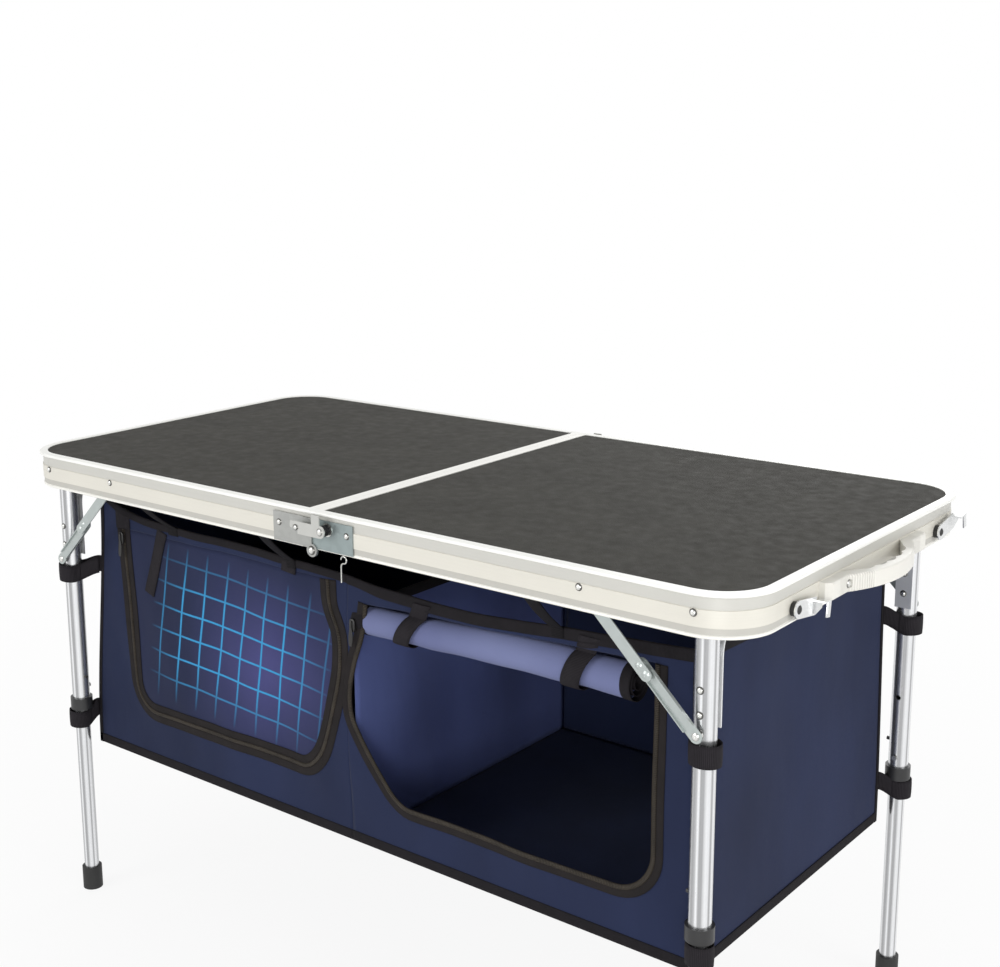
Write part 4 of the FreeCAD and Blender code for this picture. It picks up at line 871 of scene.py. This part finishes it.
# %% Door cloth and its print
s, t = np.linspace(0, 1, 72)[None], np.linspace(0, 1, 56)[:, None] ** 1.5
z = door_low + (door_top - door_low) * t
left, right = door_sides(z)
door_grid = facing(on_front(left * (1 - s) + right * s, z, -0.0004), front)
door = hung("left_door_cloth", [door_grid], printed_finish, "door", node="left_door")
x, z = door_grid[..., 0], door_grid[..., 2]
print_x = (x - 0.16 * (z - 0.525) + 0.3105) / 0.0405 + 1
print_z = (0.525 - z - 0.07 * (x + 0.309)) / 0.0363 + 2
in_squares = np.stack([print_x, print_z], axis=-1).reshape(-1, 2)[grid_faces(*x.shape)]
layer = door.data.uv_layers.new(name="print")
layer.uv.foreach_set("vector", in_squares.astype(np.float32).ravel())

# %% [markdown]
# # Bindings
# Raw edges of cloth are closed with a tape folded over them. Its section is a narrow
# U: down the front, round the edge, up the back. Carrying that section along the
# edge makes the tape.

# %% A tape folded over an edge
def down_grid(edge, outward, wide=0.0115, bulk=0.0016):
    """U section along a hanging edge: the front leg hangs one width down, a half
    circle turns over the edge, and the back leg is as long. wide may change along
    the edge."""
    turn = np.linspace(0, np.pi, 7)
    out = np.concatenate([[bulk * 0.8, bulk, bulk], bulk * np.cos(turn), [-bulk, -bulk]])
    down = np.concatenate([[1.0, 0.97, 0.5], np.zeros(7), [0.5, 1.0]])
    over = np.concatenate([np.zeros(3), -bulk * np.sin(turn), np.zeros(2)])
    wide = np.broadcast_to(np.asarray(wide, float), edge.shape[:1])
    reach = down[:, None] * wide[None] + over[:, None]
    grid = (edge[None] + out[:, None, None] * np.asarray(outward)
            + reach[..., None] * np.array([0, 0, -1]))
    return facing(grid, outward)


def bind(name, grids, body):
    """Sews binding tapes into one piece and hangs it on its leaf."""
    return hung(name, grids, tape_finish, body, "webbing", thick=0.0005)


# %% Bindings of the top edges
across = np.linspace(-1, 1, 60)
for (side, sign, edge), ends in zip(sides, ((float(left_edge(0.60)), seam_x),
                                            (seam_x, float(right_edge(0.60))))):
    x = np.linspace(*ends, 120)
    wide = 0.0085 if sign < 0 else 0.0095 + 0.003 * soft_step((x - 0.02) / 0.05)
    end_line = points(edge(0.61), half_deep * across, end_top(sign, half_deep * across))
    bind(f"{side}_top_binding", [down_grid(on_front(x, top_edge(x)), front, wide),
                                 down_grid(on_rear(x, top_edge(x)), rear),
                                 down_grid(end_line, (sign, 0, 0))], f"{side}_top")
divider_line = points(divider_x, (half_deep - divider_gap) * across, divider_top)
bind("divider_binding", [down_grid(divider_line, (1, 0, 0))], "right_top")

# %% [markdown]
# # Corner seams and hem
# The four upright corners and the bottom edge are seams covered by a tape that lies
# on both sheets. Its section is an L with a rounded corner.

# %% Corner tapes
seam_wide, hem_wide = 0.006, 0.013


def corner_tape(edge, first_side, second_side, wide, bulk=0.0012):
    """L section along a seam: one width along the first side, a rounded corner that
    stands proud by the bulk, and one width along the second side."""
    first, second = np.asarray(first_side, float), np.asarray(second_side, float)
    steps = np.array([1.0, 0.97, 0.6, 0.25, 0.08])
    along = (steps * wide)[:, None, None]
    proud = (np.array([0.3, 1.0, 1.0, 1.0, 1.0]) * bulk)[:, None, None]
    one = edge[None] + along * first - proud * second
    two = edge[None] + along * second - proud * first
    tip = edge[None] - bulk * 0.75 * (first + second)
    return np.concatenate([one, tip, two[::-1]])


for side, sign, edge in sides:
    corners, tapes = [], []
    edge_x, hem_z = float(edge(floor_z)), floor_z + floor_lift
    for deep in (-1, 1):
        z = np.linspace(floor_z, float(end_top(sign, half_deep)) - 0.002, 70)
        tape = corner_tape(points(edge(z), deep * half_deep, z), (-sign, 0, 0),
                           (0, -deep, 0), seam_wide)
        corners.append(facing(tape, (sign, deep, 0)))
        x = np.linspace(edge_x, seam_x, 110)
        tape = corner_tape(points(x, deep * half_deep, hem_z), (0, 0, 1), (0, -deep, 0),
                           hem_wide)
        tapes.append(facing(tape, (0, deep, -1)))
    y = np.linspace(-half_deep, half_deep, 60)
    tape = corner_tape(points(edge_x, y, hem_z), (0, 0, 1), (-sign, 0, 0), hem_wide)
    tapes.append(facing(tape, (sign, 0, -1)))
    bind(f"{side}_hem_tapes", tapes, f"{side}_top")
    bind(f"{side}_corner_seams", corners, f"{side}_top")

# %% [markdown]
# # Zips
# A zip is two tapes with a row of teeth between them. It follows the opening's
# outline on three sides. On the left the outer tape and the teeth are sewn to the
# wall, and the inner tape belongs to the door, so it opens with it. The open doorway
# keeps its half of the zip: a dark tape along the cut edge with a row of teeth on
# the rim. A tape is a line drawn along the outline and moved sideways in even steps.

# %% Tape beside a drawn line
def beside(line, low, high, lift, columns=5, crown=0.0):
    """Grid beside a line on the front wall: each column is the line moved sideways,
    square to its direction, from low to high; it stands off the cloth by lift, plus a
    crown that is highest in the middle."""
    way = np.gradient(line, axis=0)
    way = way / np.linalg.norm(way, axis=1, keepdims=True)
    square = np.stack([way[:, 1], -way[:, 0]], axis=-1)
    s = np.linspace(0, 1, columns)
    off = low + (high - low) * s
    flat = line[None] + off[:, None, None] * square[None]
    rise = lift + crown * np.sin(np.pi * s)[:, None] + 0 * flat[..., 0]
    return facing(on_front(flat[..., 0], flat[..., 1], rise), front)


def three_sides(lines, count):
    """The left, lower and right side of an opening as one line in even steps."""
    return paced(np.concatenate([lines[0], lines[1][1:], lines[2][1:]]), count)


zip_line, doorway_line = three_sides(door_lines, 260), three_sides(doorway_lines, 300)
zip_parts = (
    ("left_zip_outer_tape", "left_top", zip_finish, 0.0006,
     beside(zip_line, 0.0028, 0.0145, 0.0008)),
    ("left_zip_inner_tape", "door", zip_finish, 0.0006,
     beside(zip_line, -0.0028, -0.0140, 0.0008)),
    ("left_zip_teeth", "left_top", teeth_finish, 0.0006,
     beside(zip_line, -0.0030, 0.0030, 0.0010, 7, 0.0016)),
    ("doorway_zip_tape", "right_top", zip_finish, 0.0008,
     beside(doorway_line, -0.0035, 0.0125, 0.0010, 7)),
    ("doorway_zip_teeth", "right_top", teeth_finish, 0.0006,
     beside(doorway_line, -0.0032, 0.0032, 0.0014, 7, 0.0012)),
)
for name, body, finish, thick, grid in zip_parts:
    hung(name, [grid], finish, body, "zip", "zip_tapes", thick=thick)

# %% [markdown]
# # Rolled-up right door
# The right door is rolled like a map and held by two ties. Its section is a spiral:
# the radius grows evenly with the angle. Along the roll the spiral is drawn in where
# the ties hold it and droops a little between its ends. Black binding covers the two
# rolled ends.

# %% Spiral sheet
roll_marks = ((0.012, 0.5462), (0.12, 0.5490), (0.235, 0.5560), (0.36, 0.5575),
              (0.435, 0.5570))
tie_places = (0.113, 0.362)
roll_middle_y, roll_flatness = -0.2268, 0.94
core_radius, roll_turns, roll_keep = 0.0050, 3.3, 0.16


def roll_axis(x):
    """Height of the roll's middle at a place along it."""
    return drawn(roll_marks, x)


def roll_radius(x):
    """Radius of the roll: 21.8 mm at its left end and 26 mm past the half."""
    return 0.0218 + 0.0042 * soft_step((x - 0.012) / 0.25)


def roll_sheet(x0, x1, columns, swell):
    """Spiral carried along the roll: radius from the core to the outside in even
    steps over the turns, less 1.6 mm under each tie, narrowed by 6 % in depth."""
    x, t = plain_grid(x0, x1, 0, 1, columns, 150)
    held = sum(np.exp(-((x - place) / 0.020) ** 2) for place in tie_places)
    uneven = 0.0006 * np.sin(23 * x + 1.0) + 0.0005 * np.sin(61 * x)
    radius = core_radius + (roll_radius(x) - core_radius + swell) * t
    radius = radius + (uneven - 0.0016 * held) * t
    angle = 2 * np.pi * roll_turns * (t - 1) + 0.36 * np.pi
    return points(x, roll_middle_y + roll_flatness * radius * np.cos(angle),
                  roll_axis(x) + radius * np.sin(angle))


def away_from_axis(grid):
    """Direction from the roll's axis to each point, to tell its outer face."""
    return points(0.0, grid[..., 1] - roll_middle_y,
                  grid[..., 2] - roll_axis(grid[..., 0]))


roll_parts = (("rolled_door_cloth", 0.030, 0.422, 120, 0.0, roll_finish, "roll_cloth"),
              ("rolled_door_left_hem", 0.013, 0.033, 9, 0.0007, tape_finish, "webbing"),
              ("rolled_door_right_hem", 0.419, 0.432, 7, 0.0007, tape_finish, "webbing"))
for name, x0, x1, columns, swell, finish, slot in roll_parts:
    grid = roll_sheet(x0, x1, columns, swell)
    piece = hung(name, [facing(grid, away_from_axis(grid))], finish, "right_top", slot,
                 "door_roll", keep=roll_keep, thick=0.0009)

# %% [markdown]
# # Ties
# Each tie is a strip of webbing sewn under the top binding. It comes down over the
# front of the roll, slanting, goes under it and up behind. The strip is a path in
# the depth and height, given a width along the table.

# %% Strips of webbing
def strip(path, wide, across=(1, 0, 0), columns=5, crown=0.0004):
    """Webbing along a path: each point is moved along the across direction by up to
    half the width, and the middle stands a little proud of the edges."""
    path = np.asarray(path, float)
    way = np.gradient(path, axis=0)
    across = np.broadcast_to(np.asarray(across, float), path.shape)
    out = np.cross(way, across)
    out = out / np.maximum(np.linalg.norm(out, axis=1, keepdims=True), 1e-9)
    s = np.linspace(-0.5, 0.5, columns)[:, None, None]
    wide = np.broadcast_to(np.asarray(wide, float), path.shape[:1])[None, :, None]
    return path[None] + s * wide * across[None] + crown * (1 - 4 * s**2) * out[None]


def tie_path(top_x, bottom_x, count=90):
    """Down the wall from the binding, round the roll's front on a circle 0.6 mm
    outside it, and up behind; the strip drifts sideways with the way it has gone."""
    turn = np.radians(np.linspace(118, 318, 60))
    radius = float(roll_radius(bottom_x)) + 0.0006
    y = roll_middle_y + roll_flatness * radius * np.cos(turn)
    z = float(roll_axis(bottom_x)) + radius * np.sin(turn)
    start = np.linspace(0, 1, 14)[:-1]
    wall_y, wall_z = -half_deep - 0.0026, float(top_edge(top_x)) - 0.004
    y = np.concatenate([wall_y + (y[0] - wall_y) * start, y])
    z = np.concatenate([wall_z + (z[0] - wall_z) * start, z])
    line = paced(points(0.0, y, z), count)
    drift = np.clip(np.linspace(0, 1.55, count), 0, 1)
    line[:, 0] = top_x + (bottom_x - top_x) * drift
    return line


tie_grids = []
for top_x, bottom_x in ((0.130, 0.094), (0.376, 0.350)):
    path = tie_path(top_x, bottom_x)
    grid = strip(path, np.linspace(0.028, 0.0245, len(path)))
    tie_grids.append(facing(grid, away_from_axis(grid)))
hung("roll_tie_webbing", tie_grids, webbing_finish, "right_top", "webbing", "roll_ties",
     keep=roll_keep, thick=0.0009)


# %% Short strips on the left wall and door
def between(first, last, count):
    """Straight line of points between two places (x, z) on the front wall."""
    return np.linspace(first, last, count)


# Name, body, CAD node, line, half width, height above the cloth, thickness.
strips = (
    ("left_zip_garage", "left_top", "organizer_body",
     between((-0.4412, 0.6195), (-0.4402, 0.592), 8), 0.0150, 0.0016, 0.0010),
    ("left_door_tie", "door", "left_door",
     paced(between((-0.354, 0.601), (-0.3865, 0.5035), 30), 40), 0.0102, 0.0016, 0.0012),
    ("left_door_short_tie", "left_top", "organizer_body",
     between((-0.097, 0.606), (-0.099, 0.589), 12), 0.0125, 0.0020, 0.0012),
)
for name, body, node, line, half, lift, thick in strips:
    hung(name, [beside(line, -half, half, lift)], webbing_finish, body, "webbing", node,
         thick=thick)

# %% [markdown]
# # Hanging loops
# Six short loops of webbing carry the organizer. Each is sewn under the ledge of the
# rail and slants in to the top edge of the wall, where it is stitched to the binding.

# %% Loops
loop_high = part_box("hanging_loops")[1]
reach = loop_high.y - 0.001
drop = np.linspace(0, 1, 30)
for side, places in (("left", (-0.330, -0.095)), ("right", (0.330,))):
    loops = []
    for place in places:
        for deep in (-1, 1):
            foot = on_front(place, float(top_edge(place)), 0.0022)
            bow = 0.003 * np.sin(np.pi * drop)
            y = np.concatenate([[reach, reach], reach + (-foot[1] - reach) * drop + bow,
                                [-foot[1], -foot[1]]])
            z = np.concatenate([[loop_high.z, rail_low + 0.002],
                                rail_low + (foot[2] - rail_low) * drop,
                                [foot[2] - 0.006, foot[2] - 0.011]])
            loops.append(facing(strip(points(place, deep * y, z), 0.020), (0, deep, 0)))
    hung(f"{side}_hanging_loops", loops, shaded_loop_finish, f"{side}_top", "webbing",
         "hanging_loops", keep=0.25, anchor=loop_high.z, thick=0.0012)

# %% [markdown]
# # Straps round the legs
# A strap of webbing ties each corner of the organizer to its leg, once above and once
# below. It leaves the corner, goes round the tube like a sling, and comes back to the
# corner. The sling and the two ends ride the leg, so the sling stays round the tube
# when the legs fold.

# %% Leg straps
leg_low, leg_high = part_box("right_upper_tubes")
upper_tube_radius, strap_wide = 0.013, 0.025
leg_x = (leg_low.x + leg_high.x) / 2 - table_middle
leg_y = (leg_high.y - leg_low.y) / 2 - upper_tube_radius
# Height of a strap and radius of its sling round the upper and the lower tube.
strap_levels = ((0.515, 0.0152), (0.283, 0.0132))


def strap_round(leg, corner, height, radius):
    """Path from the corner seam round the leg and back: a straight run, a circle that
    stands 5 mm off the far side of the tube, and a run back beside the first. The
    strap falls by 13 mm from the corner to the tube."""
    to_corner = math.atan2(corner[1] - leg[1], corner[0] - leg[0])
    turn = np.linspace(to_corner + 0.9, to_corner + 2 * math.pi - 0.9, 70)
    out = radius + 0.005 * np.sin((turn - to_corner) / 2) ** 4
    ring = np.stack([leg[0] + out * np.cos(turn), leg[1] + out * np.sin(turn)], -1)
    run = np.linspace(0, 1, 12)[:-1, None]
    first = np.asarray(corner) * (1 - run) + ring[0] * run
    last = ring[-1] * (1 - run[1:]) + np.asarray(corner) * run[1:]
    flat = np.concatenate([first, ring, last])
    whole = np.linalg.norm(np.subtract(leg, corner))
    near = np.linalg.norm(flat - corner, axis=1) / whole
    ripple = 0.0012 * np.sin(np.linspace(0, 5, len(flat)))
    return np.column_stack([flat, height + 0.013 * (1 - soft_step(near)) + ripple])


for side, sign, edge in sides[::-1]:
    rings, ends = [], []
    for deep in (-1, 1):
        leg = (sign * leg_x, deep * leg_y)
        for height, radius in strap_levels:
            corner = (float(edge(height)) - sign * 0.001, deep * (half_deep + 0.0012))
            path = strap_round(leg, corner, height, radius)
            shares = ((rings, path[9:83]), (ends, path[:11]), (ends, path[81:]))
            for group, share in shares:
                group.append(facing_out(strip(share, strap_wide, (0, 0, 1)), leg))
    parts = (("slings", rings, 0.0011), ("ends", ends, 0.0010))
    straps = [hung(f"{side}_leg_strap_{part}", grids, webbing_finish, f"{side}_legs",
                   "webbing", f"{side}_leg_straps", joint=None, thick=thick, inwards=1)
              for part, grids, thick in parts]
    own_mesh(straps[1])

# %% [markdown]
# # Zip sliders
# A slider is a small rounded body that straddles the teeth, with a bridge and a pull
# tab. Its body is a rounded block: a circle in the plan whose sides are pushed out
# towards a square, and the same along its height.

# %% Slider bodies and pull tabs
def pebble(centre, size, rows=15, columns=28):
    """Rounded block: cosines and sines raised to a power below one and multiplied by
    half the size, with small flat caps at both ends."""
    def soft(value, power=0.6):
        return np.sign(value) * np.abs(value) ** power
    lift = np.linspace(-0.47, 0.47, rows)[:, None] * np.pi
    turn = np.linspace(0, 2 * np.pi, columns, endpoint=False)[None]
    x = size[0] / 2 * soft(np.cos(lift)) * soft(np.cos(turn))
    y = size[1] / 2 * soft(np.cos(lift)) * soft(np.sin(turn))
    return points(x, y, size[2] / 2 * soft(np.sin(lift))) + centre


def tab(top, length, wide, swing):
    """Pull tab: a strip that hangs from the bridge and swings out at its lower end,
    narrow at the top and round at the bottom."""
    t = np.linspace(0, 1, 22)
    width = wide * (0.55 + 0.45 * soft_step(t / 0.5)) * np.sqrt(1 - (t * 0.97) ** 8)
    path = points(top[0], top[1] - swing * t**2, top[2] - length * t)
    return facing(strip(path, width, crown=0.0), front)


for side, x, top in (("left", -0.4405, 0.588),
                     ("right", 0.0175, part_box("right_zip_slider")[1].z)):
    face_y = on_front(x, top - 0.009, 0.0042)[1]
    grids = [pebble((x, face_y, top - 0.009), (0.0095, 0.0052, 0.018)),
             pebble((x, face_y - 0.0032, top - 0.008), (0.0036, 0.0030, 0.012))]
    grids = [facing(grid, grid - grid.mean((0, 1))) for grid in grids]
    slider = f"{side}_zip_slider"
    riding = {"body": f"{side}_slider", "slot": "zip", "node": slider, "keep": 0.15}
    hung(f"{slider}_body", grids, slider_finish, thick=0, closed=True, ends=True,
         **riding)
    pull = tab((x, face_y - 0.0042, top - 0.012), 0.024, 0.0068, 0.001)
    hung(f"{slider}_pull", [pull], slider_finish, thick=0.0009, **riding)

# %% [markdown]
# # Floor, light and camera
# The studio is a pale floor under soft light from large lamps. The background is white
# only for what the camera, a mirror or a glass sees. The lamps stay at a plain level,
# so that a colour renders about as it was written.

# %% Floor
def seen(tree):
    """1 where a camera, mirror or glass ray arrives, 0 for other rays."""
    path = add(tree, "LightPath").outputs
    first = worked("MAXIMUM", path["Is Camera Ray"], path["Is Glossy Ray"])
    return worked("MAXIMUM", first, path["Is Transmission Ray"])


floor_finish = new_finish("pale studio floor", (238, 238, 238), 0.9)
place, tree = placed(floor_finish), floor_finish.node_tree
steer("Base Color", blended(noise(place, 3.0, 2), (0.85, 0.85, 0.85), (0.88, 0.88, 0.88)))
white = add(tree, "Emission", {"Color": (1, 1, 1, 1), "Strength": 1.0})
from_table = add(tree, "VectorMath", {0: place}, operation="LENGTH").outputs["Value"]
share = times(seen(tree), spread(from_table, 0.6, 2.4, 0.88, 1.0))
both = add(tree, "MixShader", {0: share, 1: tree.nodes["Principled BSDF"].outputs[0],
                               2: white.outputs[0]})
tree.links.new(both.outputs[0], tree.nodes["Material Output"].inputs["Surface"])
far = 200
x, y = plain_grid(-far, far, -far, far, 3, 3)
ground = sew("studio_floor", [facing(points(x, y, -0.0005), (0, 0, 1))], floor_finish,
             thick=0)

# %% White background and soft sky
world = bpy.data.worlds.new("studio sky")
bpy.context.scene.world = world
world.use_nodes = True
sky = world.node_tree.nodes["Background"]
sky.inputs["Color"].default_value = (1, 1, 1, 1)
strength = plus(times(seen(world.node_tree), 0.44), 0.56)
world.node_tree.links.new(strength, sky.inputs["Strength"])


# %% Lamps
def stand(name, data, right, up, back, place):
    """An object at a place, with its X, Y and Z axes along right, up and back."""
    turned = np.eye(4)
    turned[:3, :4] = np.column_stack([right, up, back, place])
    holder = bpy.data.objects.new(name, data)
    holder.matrix_world = Matrix(turned.tolist())
    bpy.context.scene.collection.objects.link(holder)
    return holder


def lamp(name, place, aim, size, power):
    """A square area lamp at a place, turned so that its -Z axis points at the aim."""
    light = bpy.data.lights.new(name, "AREA")
    light.size, light.energy = size, power
    back = np.subtract(place, aim) / np.linalg.norm(np.subtract(place, aim))
    right = np.cross((0, 0, 1), back)
    right = right / np.linalg.norm(right)
    stand(name, light, right, np.cross(back, right), back, place)


lamp("front lamp", (-1.2, -2.8, 1.7), (0, 0, 0.5), 1.4, 30)
lamp("door lamp", (1.8, -2.7, 0.85), (0.1, 0, 0.45), 0.9, 28)
lamp("right lamp", (3.0, -0.2, 1.3), (0.3, 0, 0.65), 1.4, 27)
lamp("back lamp", (-0.8, 3.2, 1.8), (0, 0, 0.5), 1.6, 18)
lamp("top lamp", (0.2, 0.4, 3.2), (0, 0, 0.6), 2.2, 16)

# %% [markdown]
# ## Camera
# The camera was fitted to marks of the table in the photograph: corners, screws and
# pins whose places are known. It gives the place, the direction, the roll and the
# focal length in pixels, and the small shift that the cropped picture needs.

# %% Camera
image_wide, image_high = 1000, 967
focal_pixels, centre_pixels = 1503.1, (430, 443)
azimuth, pitch, roll = math.radians(39.926), math.radians(11.97), math.radians(-0.663)
camera_place = np.array([1.26922, -1.58425, 0.46531]) + [table_middle, 0, rail_high]
back = np.array([math.sin(azimuth) * math.cos(pitch),
                 -math.cos(azimuth) * math.cos(pitch), math.sin(pitch)])
level_right = np.array([math.cos(azimuth), math.sin(azimuth), 0])
level_up = np.cross(back, level_right)
right = math.cos(roll) * level_right + math.sin(roll) * level_up
up = math.cos(roll) * level_up - math.sin(roll) * level_right
lens = bpy.data.cameras.new("photo camera")
lens.sensor_width = 36
lens.lens = focal_pixels * lens.sensor_width / image_wide
lens.shift_x = (image_wide / 2 - centre_pixels[0]) / image_wide
lens.shift_y = (centre_pixels[1] - image_high / 2) / image_wide
lens.clip_end = 1000
bpy.context.scene.camera = stand("photo camera", lens, right, up, back, camera_place)
bpy.context.scene.view_settings.view_transform = "Standard"
print("lens", round(lens.lens, 2), "mm, shift", round(lens.shift_x, 4),
      round(lens.shift_y, 4))
